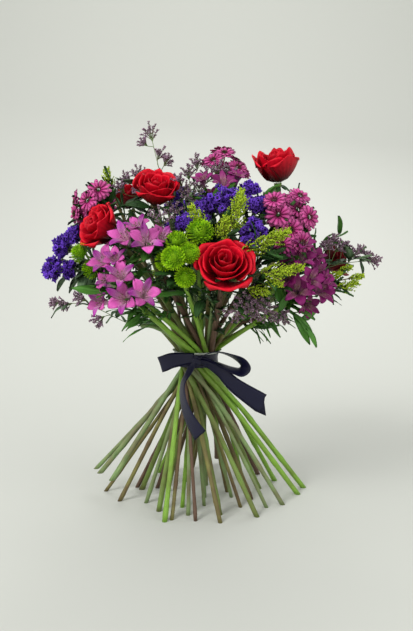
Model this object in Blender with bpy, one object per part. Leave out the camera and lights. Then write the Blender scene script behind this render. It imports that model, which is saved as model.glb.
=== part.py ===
# Hand-tied flower bouquet standing on its splayed stem ends, with a satin bow.
# Metres, +Z up, the stems fan out to the table at z = 0.
import math
import bpy
import bmesh
import numpy as np
from mathutils import Vector
from mathutils.bvhtree import BVHTree

MM = 0.001
GAP = 0.3
TIE = Vector((-12.0, 0.0, 184.0))
RIBBON_WIDTH = 25.0
RIBBON_THICK = 0.8
TAPE_THICK = 0.7
TAPE_ROOM = 0.35
BAND_SIDES = 14
PETAL_THICK = 0.9
LEAF_THICK = 0.8
SWELLS = (1.4, 1.32, 1.25, 1.18, 1.12, 1.07)
SWELL_GAP = 0.2

for old in list(bpy.data.objects):
    bpy.data.objects.remove(old, do_unlink=True)

# The stems, in mm and degrees: the cut end, the crown where the flower stalks leave,
# heads as (x, y, z, compass and rise of the way they face, half size)
# and leaves as (height on the stem, compass and rise of the blade, length).
STEMS = {
    "rose_front": {"kind": "rose", "radius": 3.1, "foot": (16, 133, 8),
        "heads": [(18, -140, 295, -90, 21, 33)],
        "leaves": [(224, -61, 1, 24)]},
    "rose_left": {"kind": "rose", "radius": 3.1, "foot": (70, 30, 0),
        "heads": [(-114, -86, 339, -146, 27, 28)],
        "leaves": [(293, -75, 21, 35)]},
    "rose_upper_left": {"kind": "rose", "radius": 3.1, "foot": (28, 18, 0),
        "heads": [(-60, -39, 383, -81, 53, 29)],
        "leaves": [(308, -96, 18, 31)]},
    "rose_tucked": {"kind": "rose", "radius": 2.9, "foot": (16, -57, 0),
        "heads": [(-100, 22, 380, -164, 69, 24)],
        "leaves": [(316, 132, 16, 30)]},
    "rose_top_right": {"kind": "rose", "radius": 3.1, "foot": (-86, 27, 0),
        "heads": [(85, -10, 412, -113, 68, 28)],
        "leaves": [(362, -67, 11, 26)]},
    "rose_right": {"kind": "rose", "radius": 2.9, "foot": (-139, 13, 27),
        "heads": [(160, 18, 302, -3, 24, 24)],
        "leaves": [(259, -43, 2, 28)]},
    "rose_back": {"kind": "rose", "radius": 3.1, "foot": (-58, -46, 0),
        "heads": [(12, 139, 330, 83, 30, 29)],
        "leaves": [(305, 91, -8, 34)]},
    "pink_left": {"kind": "pink", "radius": 2.4, "foot": (57, -8, 0), "crown": (-114, -39, 343),
        "heads": [(-151, -50, 371, -161, 5, 14), (-123, -62, 384, -97, 30, 13),
                  (-116, -48, 370, -76, 33, 11), (-142, -60, 354, -135, -6, 11)]},
    "pink_top": {"kind": "pink", "radius": 2.4, "foot": (-30, -34, 0), "crown": (12, 4, 386),
        "heads": [(4, 10, 428, 158, 57, 13), (20, 22, 440, 90, 78, 14), (37, 8, 427, -11, 59, 13),
                  (24, -14, 413, -82, 41, 12)]},
    "pink_right": {"kind": "pink", "radius": 2.4, "foot": (-93, 34, 0), "crown": (78, -60, 331),
        "heads": [(78, -97, 354, -96, 12, 14), (101, -80, 361, -66, 27, 13),
                  (107, -82, 341, -53, 0, 12), (88, -62, 374, -101, 59, 12)]},
    "pink_back_left": {"kind": "pink", "radius": 2.4, "foot": (16, -80, 0), "crown": (-91, 79, 306),
        "heads": [(-105, 95, 352, 135, 45, 14), (-128, 78, 335, 155, 17, 13),
                  (-92, 118, 330, 108, 18, 13), (-118, 105, 310, 127, -6, 12)]},
    "pink_back_right": {"kind": "pink", "radius": 2.4, "foot": (-110, -14, 0), "crown": (92, 81, 300),
        "heads": [(112, 98, 345, 45, 45, 14), (130, 76, 325, 28, 11, 13), (98, 122, 322, 72, 18, 13),
                  (124, 104, 300, 53, -6, 12)]},
    "statice_left": {"kind": "statice", "radius": 2.1, "foot": (74, -35, 0), "crown": (-125, -38, 287),
        "heads": [(-148, -52, 334, -162, 48, 12), (-169, -42, 321, -166, 31, 12),
                  (-174, -58, 295, -174, 9, 13)]},
    "statice_centre": {"kind": "statice", "radius": 2.1, "foot": (-1, 42, 0), "crown": (-9, -69, 323),
        "heads": [(16, -92, 370, -90, 66, 19), (-23, -104, 346, -111, 25, 7)]},
    "statice_right": {"kind": "statice", "radius": 2.1, "foot": (-27, 56, 0), "crown": (36, -64, 325),
        "heads": [(48, -52, 386, -90, 72, 10), (53, -82, 366, -81, 53, 8),
                  (50, -118, 335, -83, 32, 12)]},
    "statice_back": {"kind": "statice", "radius": 2.1, "foot": (-22, -58, 0), "crown": (-16, 85, 326),
        "heads": [(-28, 112, 372, 101, 59, 15), (-52, 120, 350, 120, 32, 11)]},
    "green_left": {"kind": "green", "radius": 3.0, "foot": (119, 9, 0), "crown": (-105, -71, 281),
        "heads": [(-138, -96, 313, -148, 23, 9), (-128, -88, 295, -146, -6, 9)]},
    "green_centre": {"kind": "green", "radius": 2.2, "foot": (49, 103, 0), "crown": (-26, -106, 284),
        "heads": [(-31, -128, 325, -97, 37, 9.5), (-18, -140, 313, -78, 12, 9),
                  (-34, -148, 308, -102, 6, 10), (-44, -130, 304, -121, 0, 8.5),
                  (-22, -138, 288, -90, -19, 9)]},
    "green_ball": {"kind": "green", "radius": 2.2, "foot": (27, 56, 0), "crown": (-10, -73, 315),
        "heads": [(-7, -118, 335, -90, 41, 12)]},
    "solidago_centre": {"kind": "solidago", "radius": 2.0, "foot": (-5, 86, 0), "crown": (5, -97, 314),
        "heads": [(30, -118, 352, -30, 66, 26), (-10, -112, 352, -151, 50, 15)],
        "leaves": [(265, -19, 32, 32)]},
    "solidago_mid_right": {"kind": "solidago", "radius": 2.0, "foot": (-25, 86, 0),
        "crown": (37, -123, 312),
        "heads": [(58, -128, 323, -13, 27, 27)],
        "leaves": [(259, -143, 50, 31)]},
    "solidago_low_right": {"kind": "solidago", "radius": 2.0, "foot": (-20, 114, 0),
        "crown": (47, -98, 264),
        "heads": [(73, -128, 293, -18, 6, 19), (54, -124, 273, -24, -6, 13)],
        "leaves": [(258, 3, 33, 31)]},
    "solidago_far_right": {"kind": "solidago", "radius": 2.0, "foot": (-87, 72, 0),
        "crown": (133, -28, 268),
        "heads": [(167, -40, 274, -6, 15, 15), (166, -30, 294, -6, 18, 9)],
        "leaves": [(266, 48, -6, 31)]},
    "solidago_tip_left": {"kind": "solidago", "radius": 2.0, "foot": (42, -34, 0),
        "crown": (-117, -11, 389),
        "heads": [(-119, -12, 402, -153, 77, 15)],
        "leaves": [(372, -140, 17, 31)]},
    "solidago_back": {"kind": "solidago", "radius": 2.0, "foot": (-41, -72, 0), "crown": (-9, 106, 301),
        "heads": [(-78, 140, 282, 114, 6, 18)],
        "leaves": [(293, 34, 5, 26)]},
    "alstro_upper": {"kind": "alstro", "radius": 2.7, "foot": (73, 86, 0), "crown": (-54, -98, 301),
        "heads": [(-85, -122, 329, -111, 17, 20), (-62, -138, 324, -84, 9, 20),
                  (-47, -116, 329, -65, 20, 16)],
        "leaves": [(269, -104, -12, 37), (272, -20, 4, 45)]},
    "alstro_left": {"kind": "alstro", "radius": 2.7, "foot": (94, 60, 0), "crown": (-84, -92, 272),
        "heads": [(-109, -112, 303, -122, 20, 20), (-89, -132, 289, -93, 6, 18),
                  (-110, -103, 283, -131, -6, 12)],
        "leaves": [(240, 177, 7, 50), (262, 172, 14, 72)]},
    "alstro_low_left": {"kind": "alstro", "radius": 2.8, "foot": (130, 33, 0), "crown": (-70, -88, 249),
        "heads": [(-115, -100, 260, -137, -11, 19), (-88, -120, 264, -102, -6, 20),
                  (-65, -138, 270, -78, 0, 19)],
        "leaves": [(243, -146, -14, 35)]},
    "alstro_right": {"kind": "alstro", "radius": 2.7, "foot": (-57, 73, 0), "crown": (86, -74, 279),
        "heads": [(102, -100, 306, -81, 21, 20), (121, -86, 292, -52, 6, 18)],
        "leaves": [(276, 25, 12, 37)]},
    "alstro_low_right": {"kind": "alstro", "radius": 2.7, "foot": (-68, 93, 0), "crown": (84, -74, 251),
        "heads": [(99, -108, 272, -93, -6, 20), (125, -94, 271, -55, -9, 18.5),
                  (113, -82, 255, -72, -31, 16)],
        "leaves": [(224, 5, 12, 42)]},
    "alstro_mid": {"kind": "alstro", "radius": 2.6, "foot": (-51, 20, 0), "crown": (6, -41, 352),
        "heads": [(20, -52, 392, -90, 37, 18), (6, -44, 380, -126, 30, 11)],
        "leaves": [(253, -68, 11, 42)]},
    "alstro_back_left": {"kind": "alstro", "radius": 2.7, "foot": (60, -63, 0), "crown": (-104, 54, 260),
        "heads": [(-138, 58, 290, 156, 11, 20), (-128, 84, 268, 139, -6, 19)],
        "leaves": [(216, -157, 23, 47)]},
    "alstro_back_right": {"kind": "alstro", "radius": 2.7, "foot": (-120, -11, 26), "crown": (92, 63, 257),
        "heads": [(135, 50, 278, 24, 0, 20), (108, 112, 268, 53, -6, 20)],
        "leaves": [(214, 97, 19, 50)]},
    "alstro_back": {"kind": "alstro", "radius": 2.7, "foot": (-49, -77, 0), "crown": (-4, 119, 259),
        "heads": [(-22, 152, 282, 99, 6, 20)],
        "leaves": [(251, 103, -21, 49)]},
    "limonium_top": {"kind": "limonium", "radius": 1.9, "foot": (-3, -29, 0), "crown": (-49, 5, 376),
        "heads": [(-70, 14, 464, 180, 78, 12), (-79, 10, 451, -172, 45, 8), (-56, 10, 437, -11, 59, 9),
                  (-47, -4, 426, -18, 50, 8)]},
    "limonium_upper_left": {"kind": "limonium", "radius": 1.9, "foot": (32, -1, 0), "crown": (-68, -3, 362),
        "heads": [(-84, -2, 412, -162, 71, 11), (-99, -8, 404, -172, 45, 9)]},
    "limonium_upper_mid": {"kind": "limonium", "radius": 1.9, "foot": (-2, -2, 0), "crown": (-20, -21, 353),
        "heads": [(-22, -18, 412, -117, 77, 11), (-34, -34, 399, -141, 49, 9)]},
    "limonium_right": {"kind": "limonium", "radius": 1.9, "foot": (-147, 30, 27), "crown": (100, -7, 269),
        "heads": [(209, -8, 303, -3, 0, 9), (191, -8, 317, -7, 32, 9), (171, -12, 322, -22, 56, 9),
                  (154, -18, 329, -27, 62, 8)]},
    "limonium_left": {"kind": "limonium", "radius": 1.9, "foot": (95, -26, 0), "crown": (-78, -38, 226),
        "heads": [(-165, -62, 254, -168, -6, 9), (-146, -66, 262, -159, 25, 9),
                  (-124, -74, 237, -153, -24, 9)]},
    "limonium_low": {"kind": "limonium", "radius": 1.9, "foot": (24, 85, 0), "crown": (8, -75, 263),
        "heads": [(41, -122, 260, -90, -13, 13), (59, -118, 261, -58, -12, 10)]},
    "limonium_back": {"kind": "limonium", "radius": 2.4, "foot": (-76, -20, 0), "crown": (37, 68, 344),
        "heads": [(52, 92, 398, 60, 66, 12), (30, 88, 412, 108, 72, 10)]},
    "foliage_low_right": {"kind": "foliage", "radius": 1.9, "foot": (-47, 104, 0), "crown": (72, -45, 240),
        "heads": [(114, -66, 235, -40, -37, 26)],
        "leaves": [(240, -52, -18, 23), (238, 26, 8, 24), (237, -28, -42, 30)]},
    "foliage_upper": {"kind": "foliage", "radius": 1.9, "foot": (-66, 31, 0), "crown": (50, -34, 343),
        "heads": [(67, -44, 384, -76, 66, 24)],
        "leaves": [(324, -130, 32, 20), (323, 70, 49, 18), (367, -64, 8, 21), (374, -51, -1, 22),
                   (368, -108, 35, 21)]},
    "foliage_right": {"kind": "foliage", "radius": 1.9, "foot": (-133, 20, 0), "crown": (119, -2, 303),
        "heads": [(163, -2, 336, -8, 41, 22)],
        "leaves": [(312, -124, 69, 23), (312, 59, 19, 25), (303, 47, 13, 21), (295, -77, 57, 25),
                   (334, -87, 62, 26)]},
    "foliage_back": {"kind": "foliage", "radius": 1.9, "foot": (-13, -75, 0), "crown": (-48, 100, 282),
        "heads": [(-62, 138, 312, 112, 24, 26)],
        "leaves": [(306, 142, -13, 22), (304, 29, 35, 18), (289, 156, -8, 20), (274, 28, 68, 19),
                   (270, 120, -11, 21)]},
}

# Radius of the waist of stems at heights below and above the tie.
WAIST = {-12: 25.8, -8: 24.8, -4: 24.4, 0: 24.3, 4: 25.6, 8: 30.2, 12: 36.0}

# How the stems are gathered: turn of the spiral for each mm of height, radius of the
# bunch in the tie, points on each line, and the room kept between two stems.
GATHER = {"spiral": 0.033, "bunch": 23.2, "points": 40, "room": 0.45, "reach": 18.0}

COLOURS = {
    "rose": (0.42, 0.003, 0.012), "stem": (0.07, 0.19, 0.035), "pink": (0.62, 0.07, 0.30),
    "statice": (0.10, 0.035, 0.50), "green": (0.22, 0.52, 0.02),
    "solidago": (0.42, 0.55, 0.05), "alstro": (0.34, 0.035, 0.30),
    "limonium": (0.20, 0.11, 0.17), "foliage": (0.06, 0.17, 0.06),
    "ribbon": (0.008, 0.008, 0.03), "tape": (0.62, 0.66, 0.60),
}


def way(compass, rise):
    a = math.radians(compass)
    b = math.radians(rise)
    return Vector((math.cos(a) * math.cos(b), math.sin(a) * math.cos(b), math.sin(b)))


# The stem lines: gathered in a spiral at the tie, then eased apart where they would touch.
def crown(stem):
    x, y, z, compass, rise, size = stem["heads"][0]
    facing = way(compass, rise)
    if stem["kind"] == "rose":
        return Vector((x, y, z)) - facing * (0.66 * size + GAP), facing
    middle = sum((Vector(h[:3]) for h in stem["heads"]), Vector()) / len(stem["heads"])
    top = Vector(stem["crown"])
    return top, (middle - top).normalized()


def waist_slots(crowns, radii):
    count = len(crowns)
    leans = []
    turns = []
    for top, facing in crowns:
        h = top - TIE
        leans.append(math.atan2(math.hypot(h.x, h.y), h.z))
        turns.append(math.atan2(h.y, h.x) + math.atan(GATHER["spiral"] * max(h.z, 40)))
    rank = np.empty(count)
    rank[np.argsort(leans)] = (np.arange(count) + 0.5) / count
    out = (GATHER["bunch"] - 5) * np.sqrt(rank)
    wish = np.column_stack([out * np.cos(turns), out * np.sin(turns)])
    slots = wish.copy()
    need = (radii[:, None] + radii[None]) * 1.16 + 0.25
    for step in range(4000):
        gap = slots[:, None] - slots[None]
        far = np.sqrt((gap ** 2).sum(2)) + np.eye(count) * 99
        push = np.clip(need - far, 0, None)
        slots += (gap / far[..., None] * push[..., None]).sum(1) * 0.25
        if step < 3200:
            slots += (wish - slots) * 0.004
            slots *= 0.9993
    return slots


def first_line(foot, slot, top, facing):
    tie = Vector((TIE.x + slot[0], TIE.y + slot[1], TIE.z))
    span = (top - tie).length
    low = (tie - foot).normalized()
    m1 = tie + (low + Vector((0, 0, 0.35))).normalized() * span * 0.42
    m2 = top - facing * span * 0.38
    points = [foot.lerp(tie, k / 40) for k in range(40)]
    for k in range(121):
        t = k / 120
        u = 1 - t
        points.append(tie * u ** 3 + m1 * 3 * u * u * t + m2 * 3 * u * t * t + top * t ** 3)
    points = np.array(points)
    far = np.r_[0, np.cumsum(np.sqrt((np.diff(points, axis=0) ** 2).sum(1)))]
    steps = np.linspace(0, far[-1], GATHER["points"])
    return np.column_stack([np.interp(steps, far, points[:, k]) for k in range(3)])


def between(p, d, q, e):
    r = p - q
    a = (d * d).sum(1)
    b = (d * e).sum(1)
    c = (d * r).sum(1)
    f = (e * e).sum(1)
    g = (e * r).sum(1)
    flat = a * f - b * b
    s = np.clip((b * g - c * f) / np.maximum(flat, 1e-9), 0, 1)
    t = np.clip((b * s + g) / f, 0, 1)
    s = np.clip((b * t - c) / a, 0, 1)
    return r + d * s[:, None] - e * t[:, None], s[:, None], t[:, None]


def ease_apart(lines, radii, balls, rounds, stiff):
    count, points = lines.shape[:2]
    owner = np.repeat(np.arange(count), points - 1)
    index = np.tile(np.arange(points - 1), count)
    centres, reaches, keepers = balls
    for step in range(rounds):
        start = lines[:, :-1].reshape(-1, 3)
        along = (lines[:, 1:] - lines[:, :-1]).reshape(-1, 3)
        if step % 15 == 0:
            middle = start + along / 2
            square = (middle ** 2).sum(1)
            far = square[:, None] + square[None] - 2 * middle @ middle.T
            a, b = np.nonzero(np.triu(far < GATHER["reach"] ** 2, 1))
            room = radii[owner[a]] + radii[owner[b]] + GATHER["room"]
            gap, s, t = between(start[a], along[a], start[b], along[b])
            close = (owner[a] != owner[b]) & ((gap ** 2).sum(1) < (room + 3) ** 2)
            a, b, room = a[close], b[close], room[close]
            away = np.sqrt(((lines[None] - centres[:, None, None]) ** 2).sum(3))
            ball, line, point = np.nonzero(away < reaches[:, None, None] + 12)
            other = line != keepers[ball]
            ball, line, point = ball[other], line[other], point[other]
        gap, s, t = between(start[a], along[a], start[b], along[b])
        size = np.sqrt((gap ** 2).sum(1))
        near = size < room
        push = gap[near] / np.maximum(size[near], 1e-3)[:, None] * ((room - size)[near] * 0.5)[:, None]
        move = np.zeros_like(lines)
        share = np.zeros((count, points, 1))
        for part, sign, x in ((a[near], 1, s[near]), (b[near], -1, t[near])):
            for offset, weight in ((0, 1 - x), (1, x)):
                np.add.at(move, (owner[part], index[part] + offset), sign * push * weight)
                np.add.at(share, (owner[part], index[part] + offset), weight)
        move = move / np.maximum(share, 1.0) * 1.3
        away = lines[line, point] - centres[ball]
        size = np.sqrt((away ** 2).sum(1))
        short = np.clip(reaches[ball] + radii[line] + 0.8 - size, 0, None)
        np.add.at(move, (line, point), away * (short / size * 0.5)[:, None])
        move[:, 0] = 0
        move[:, -1] = 0
        lines = lines + move
        if step < rounds * 0.9:
            bend = (lines[:, 2:] + lines[:, :-2]) / 2 - lines[:, 1:-1]
            lines[:, 1:-1] += bend * stiff
        flat = lines[:, :, :2] - (TIE.x, TIE.y)
        out = np.sqrt((flat ** 2).sum(2))
        limit = GATHER["bunch"] - radii[:, None]
        pinch = (np.abs(lines[:, :, 2] - TIE.z) < 10) & (out > limit)
        squeeze = np.where(pinch, limit / np.maximum(out, 1e-3), 1.0)
        lines[:, :, :2] = flat * squeeze[..., None] + (TIE.x, TIE.y)
    return lines


def thinned(line, slack):
    way_on = line[-1] - line[0]
    way_on = way_on / max(math.sqrt((way_on ** 2).sum()), 1e-9)
    off = line - line[0]
    off = off - np.outer((off * way_on).sum(1), way_on)
    off = np.sqrt((off ** 2).sum(1))
    k = int(off.argmax())
    if len(line) < 3 or off[k] < slack:
        return line[[0, -1]]
    return np.vstack([thinned(line[:k + 1], slack)[:-1], thinned(line[k:], slack)])


def thin_lines(lines, radii):
    slack = np.full(len(lines), 1.3)
    for attempt in range(12):
        thin = [thinned(line, most) for line, most in zip(lines, slack)]
        owner = np.concatenate([np.full(len(line) - 1, i) for i, line in enumerate(thin)])
        start = np.concatenate([line[:-1] for line in thin])
        along = np.concatenate([line[1:] for line in thin]) - start
        a, b = np.nonzero(owner[:, None] < owner[None])
        gap, s, t = between(start[a], along[a], start[b], along[b])
        tight = np.sqrt((gap ** 2).sum(1)) < radii[owner[a]] + radii[owner[b]] - 0.1
        if not tight.any():
            break
        slack[np.unique(owner[np.concatenate([a[tight], b[tight]])])] *= 0.6
    return thin


BALLS = {"rose": (0.98, 1.0), "alstro": (0.62, 0.0), "pink": (0.75, 0.0), "statice": (0.7, 0.0),
         "green": (0.95, 1.0), "solidago": (0.0, 5.0)}


def stem_lines():
    names = list(STEMS)
    radii = np.array([STEMS[n]["radius"] for n in names])
    crowns = [crown(STEMS[n]) for n in names]
    slots = waist_slots(crowns, radii)
    lines = np.array([first_line(Vector(STEMS[n]["foot"]), slot, top, facing)
                      for n, slot, (top, facing) in zip(names, slots, crowns)])
    balls = [(h[:3], BALLS[STEMS[n]["kind"]][0] * h[5] + BALLS[STEMS[n]["kind"]][1], i)
             for i, n in enumerate(names) if STEMS[n]["kind"] in BALLS for h in STEMS[n]["heads"]]
    balls = [np.array(column) for column in zip(*balls)]
    for rounds, stiff in ((400, 0.25), (250, 0.06), (500, 0.0)):
        lines = ease_apart(lines, radii, balls, rounds, stiff)
    return {n: [Vector([round(x, 1) for x in p]) for p in line]
            for n, line in zip(names, thin_lines(lines, radii))}


# Frames and closed shells, all in mm.
def frames(points):
    tangents = []
    last = len(points) - 1
    for i in range(len(points)):
        t = Vector((0, 0, 0))
        if i > 0:
            t += (points[i] - points[i - 1]).normalized()
        if i < last:
            t += (points[i + 1] - points[i]).normalized()
        tangents.append(t.normalized())
    side = tangents[0].orthogonal().normalized()
    out = []
    for t in tangents:
        side = (side - t * side.dot(t)).normalized()
        out.append((t, side, t.cross(side)))
    return out


def skin(rings):
    n = len(rings[0])
    verts = [v for ring in rings for v in ring]
    faces = [tuple(reversed(range(n)))]
    for i in range(len(rings) - 1):
        for k in range(n):
            a = i * n + k
            b = i * n + (k + 1) % n
            faces.append((a, b, b + n, a + n))
    top = (len(rings) - 1) * n
    faces.append(tuple(range(top, top + n)))
    return verts, faces


def tube(points, radii, sides, flat=False):
    rings = []
    for i, (t, a, b) in enumerate(frames(points)):
        ring = []
        for k in range(sides):
            turn = 2 * math.pi * (k + 0.5) / sides
            v = points[i] + (a * math.cos(turn) + b * math.sin(turn)) * radii[i]
            if flat and i == 0:
                v = v - t * ((v.z - points[0].z) / t.z)
            ring.append(v)
        rings.append(ring)
    return skin(rings)


def strip(points, wides, width, thick, slant=False):
    rings = []
    for i, (t, a, b) in enumerate(frames(points)):
        w = wides[i] - t * wides[i].dot(t)
        if slant and i == len(points) - 1:
            w = wides[i]
        w = w.normalized() * width[i] * 0.5
        n = t.cross(w).normalized() * thick * 0.5
        rings.append([points[i] + w + n, points[i] - w + n, points[i] - w - n, points[i] + w - n])
    return skin(rings)


def blade(root, along, face, length, wide, thick, droop, shape):
    along = along.normalized()
    face = (face - along * face.dot(along)).normalized()
    points = []
    for s, w in shape:
        points.append(root + along * length * s - face * droop * length * s * s)
    side = along.cross(face)
    return strip(points, [side] * len(points), [max(w * wide, 0.9) for s, w in shape], thick)


def base_frame(d):
    a = d.orthogonal().normalized()
    return a, d.cross(a).normalized()


def bezier(a, ta, b, tb, bend, count):
    length = (b - a).length
    m1 = a + ta * length * bend
    m2 = b - tb * length * bend
    out = []
    for i in range(count):
        t = i / (count - 1)
        u = 1 - t
        out.append(a * u ** 3 + m1 * 3 * u * u * t + m2 * 3 * u * t * t + b * t ** 3)
    return out


# Flowers, each a list of closed shells round its centre.
ALSTRO_TWIST = 1.49
DAISY_TWIST = 3.91

# Three nested whorls of petals on one base: radius, height and which petals dip.
ROSE = (
    (0.19, -0.66, 0), (0.84, -0.26, 0), (1.0, 0.12, 1), (0.95, 0.17, 1), (0.78, -0.18, 0),
    (0.38, -0.36, 0), (0.62, 0.0, 0), (0.72, 0.33, -1), (0.67, 0.37, -1), (0.54, 0.06, 0),
    (0.29, -0.1, 0), (0.38, 0.24, 0), (0.43, 0.47, 1), (0.38, 0.5, 1), (0.25, 0.2, 0),
)


def rose_bloom(c, d, r):
    a, b = base_frame(d)
    rings = []
    for reach, rise, dips in ROSE:
        ring = []
        for k in range(10):
            turn = 2 * math.pi * k / 10
            cut = 0.17 if dips and (k % 2 == 0) == (dips > 0) else 0.0
            out = a * math.cos(turn) + b * math.sin(turn)
            ring.append(c + out * r * reach * (1 - 0.5 * cut) + d * r * (rise - cut))
        rings.append(ring)
    verts, faces = skin(rings)
    faces.pop()
    verts.append(c + d * r * 0.1)
    last = (len(rings) - 1) * 10
    for k in range(10):
        faces.append((last + k, last + (k + 1) % 10, len(verts) - 1))
    return [(verts, faces)]


def daisy(c, d, r):
    a, b = base_frame(d)
    top = []
    low = []
    eye = []
    petals = 6
    n = petals * 2
    for k in range(n):
        turn = DAISY_TWIST + math.pi * k / petals
        reach = r if k % 2 == 0 else r * 0.6
        out = a * math.cos(turn) + b * math.sin(turn)
        top.append(c + out * reach + d * 0.16 * reach)
        low.append(top[-1] - d * PETAL_THICK)
        if k % 2:
            eye.append(c + out * r * 0.3 + d * 1.4)
    verts = top + low + eye + [c + d * 2.6, c - d * 2.2]
    e = 2 * n
    faces = []
    for k in range(n):
        m = (k + 1) % n
        faces.append((e + petals + 1, n + m, n + k))
        faces.append((n + k, n + m, m, k))
    for j in range(petals):
        i = (j + 1) % petals
        faces.append((2 * j + 1, (2 * j + 2) % n, e + j))
        faces.append(((2 * j + 2) % n, (2 * j + 3) % n, e + i))
        faces.append((e + j, (2 * j + 2) % n, e + i))
        faces.append((e + j, e + i, e + petals))
    return [(verts, faces)]


def alstro(c, d, r):
    a, b = base_frame(d)
    top = []
    for k in range(6):
        turn = ALSTRO_TWIST + math.pi * k / 3
        out = a * math.cos(turn) + b * math.sin(turn)
        side = d.cross(out)
        notch = a * math.cos(turn - math.pi / 6) + b * math.sin(turn - math.pi / 6)
        wide = (0.27 if k % 2 == 0 else 0.2) * r
        top.append(c + notch * 0.2 * r - d * 0.34 * r)
        top.append(c + out * 0.88 * r - side * wide)
        top.append(c + out * 0.98 * r + side * wide * 0.8)
    n = len(top)
    low = [v - d * PETAL_THICK - (v - c - d * (v - c).dot(d)) * 0.02 for v in top]
    verts = top + low + [c - d * 0.5 * r, c - d * (0.72 * r + 0.8)]
    faces = []
    for k in range(0, n, 3):
        m = (k + 3) % n
        for x, y, z in ((k, k + 1, k + 2), (k, k + 2, m)):
            faces.append((x, y, z))
            faces.append((z + n, y + n, x + n))
        faces.append((2 * n, k, m))
        faces.append((2 * n + 1, m + n, k + n))
    for k in range(n):
        m = (k + 1) % n
        faces.append((k + n, m + n, m, k))
    return [(verts, faces)]


def bud(c, d, r):
    return [tube([c - d * r, c - d * 0.3 * r, c + d * 0.4 * r, c + d * 0.9 * r],
                 [0.35 * r, 0.98 * r, 0.92 * r, 0.4 * r], 5)]


def beads(look, count, reach):
    out = []
    step = reach / count
    for k in range(count):
        out.append((step * (k + 0.45), look["bead"]))
        out.append((step * (k + 0.95), look["neck"] if k < count - 1 else 0.6))
    return out


# Clearance: a shell is kept only where it stays clear of every other node.
placed = {}


def bounds(verts, grow):
    xs = [v.x for v in verts]
    ys = [v.y for v in verts]
    zs = [v.z for v in verts]
    return (min(xs) - grow, max(xs) + grow, min(ys) - grow, max(ys) + grow,
            min(zs) - grow, max(zs) + grow)


def apart(p, q):
    return (p[1] < q[0] or q[1] < p[0] or p[3] < q[2] or q[3] < p[2]
            or p[5] < q[4] or q[5] < p[4])


def swollen(shell, grow):
    verts, faces = shell
    normals = [Vector((0, 0, 0)) for v in verts]
    for face in faces:
        p = verts[face[0]]
        n = Vector((0, 0, 0))
        for i in range(1, len(face) - 1):
            n += (verts[face[i]] - p).cross(verts[face[i + 1]] - p)
        if n.length > 0:
            n.normalize()
        for i in face:
            normals[i] += n
    return [v + n.normalized() * grow for v, n in zip(verts, normals)]


def clear(node, shells, gap=GAP):
    for verts, faces in shells:
        fat = swollen((verts, faces), gap)
        box = bounds(fat, 0.0)
        tree = None
        for name, data in placed.items():
            if name == node or apart(box, data["box"]):
                continue
            for other, obox in data["shells"]:
                if apart(box, obox):
                    continue
                if tree is None:
                    tree = BVHTree.FromPolygons(fat, faces)
                if tree.overlap(other):
                    return False
    return True


def free(node, shells):
    for other, obox in placed[node].setdefault("heads", []):
        for verts, faces in shells:
            if not apart(bounds(verts, GAP), obox):
                if BVHTree.FromPolygons(swollen((verts, faces), GAP), faces).overlap(other):
                    return False
    return True


def place(node, shells):
    data = placed.setdefault(node, {"box": None, "shells": [], "raw": []})
    for verts, faces in shells:
        box = bounds(verts, 0.0)
        data["shells"].append((BVHTree.FromPolygons(verts, faces), box))
        data["raw"].append((verts, faces))
        old = data["box"]
        if old is None:
            data["box"] = box
        else:
            data["box"] = tuple(min(old[i], box[i]) if i % 2 == 0 else max(old[i], box[i])
                                for i in range(6))


def along(path, back):
    left = back
    for i in range(len(path) - 1, 0, -1):
        step = path[i] - path[i - 1]
        if step.length >= left:
            return path[i] - step.normalized() * left, step.normalized()
        left -= step.length
    return path[0], (path[1] - path[0]).normalized()


def pedicel(node, path, end, facing, r, reach, extra=()):
    for fit in range(2):
        for k in range(0, reach, 6):
            start, t = along(path, k)
            span = end - start
            if span.length < 7 or span.normalized().dot(t) < (0.1 if fit == 0 else -0.35):
                continue
            for bend in (0.35, 0.2, 0.5):
                points = bezier(start, t, end, facing, bend, 4 if span.length > 45 else 3)
                radii = [r * 1.15] * (len(points) - 1) + [r * 0.9]
                full = points + [end + facing * x for x, w in extra]
                stalk = tube(full, radii + [w for x, w in extra], 3)
                if free(node, [stalk]) and clear(node, [stalk]):
                    return stalk, points
    return None, None


def grow(node, path, make, head, base, r, reach):
    facing = way(*head[3:5])
    centre = Vector(head[:3])
    size = head[5]
    stalk, points = pedicel(node, path, centre - facing * base * size, facing, r, reach)
    shells = make(centre, facing, size)
    place(node, [stalk] + shells)
    placed[node]["heads"] += placed[node]["shells"][-len(shells):]


def twig_cluster(node, path, head, look):
    x, y, z, compass, rise, size = head
    facing = way(compass, rise)
    base = Vector((x, y, z)) - facing * size * 0.9
    spike = beads(look, look["spike"], size * 1.8)
    stalk, points = pedicel(node, path, base, facing, look["stalk"], look["reach"], spike)
    place(node, [stalk])
    a, b = base_frame(facing)
    turn = compass * 0.1
    for i in range(look["twigs"]):
        for attempt in range(6):
            turn += 2.4
            tilt = look["spread"] * (0.8 + 0.07 * attempt)
            out = a * math.cos(turn) + b * math.sin(turn)
            lean = facing * math.cos(tilt) + out * math.sin(tilt)
            root = base + facing * size * look["climb"] * i / look["twigs"]
            marks = beads(look, look["beads"], size * 1.15 * look["long"])
            twig = tube([root] + [root + lean * x for x, w in marks],
                        [look["neck"]] + [w for x, w in marks], 3)
            if clear(node, [twig]):
                place(node, [twig])
                break
    return points


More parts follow.
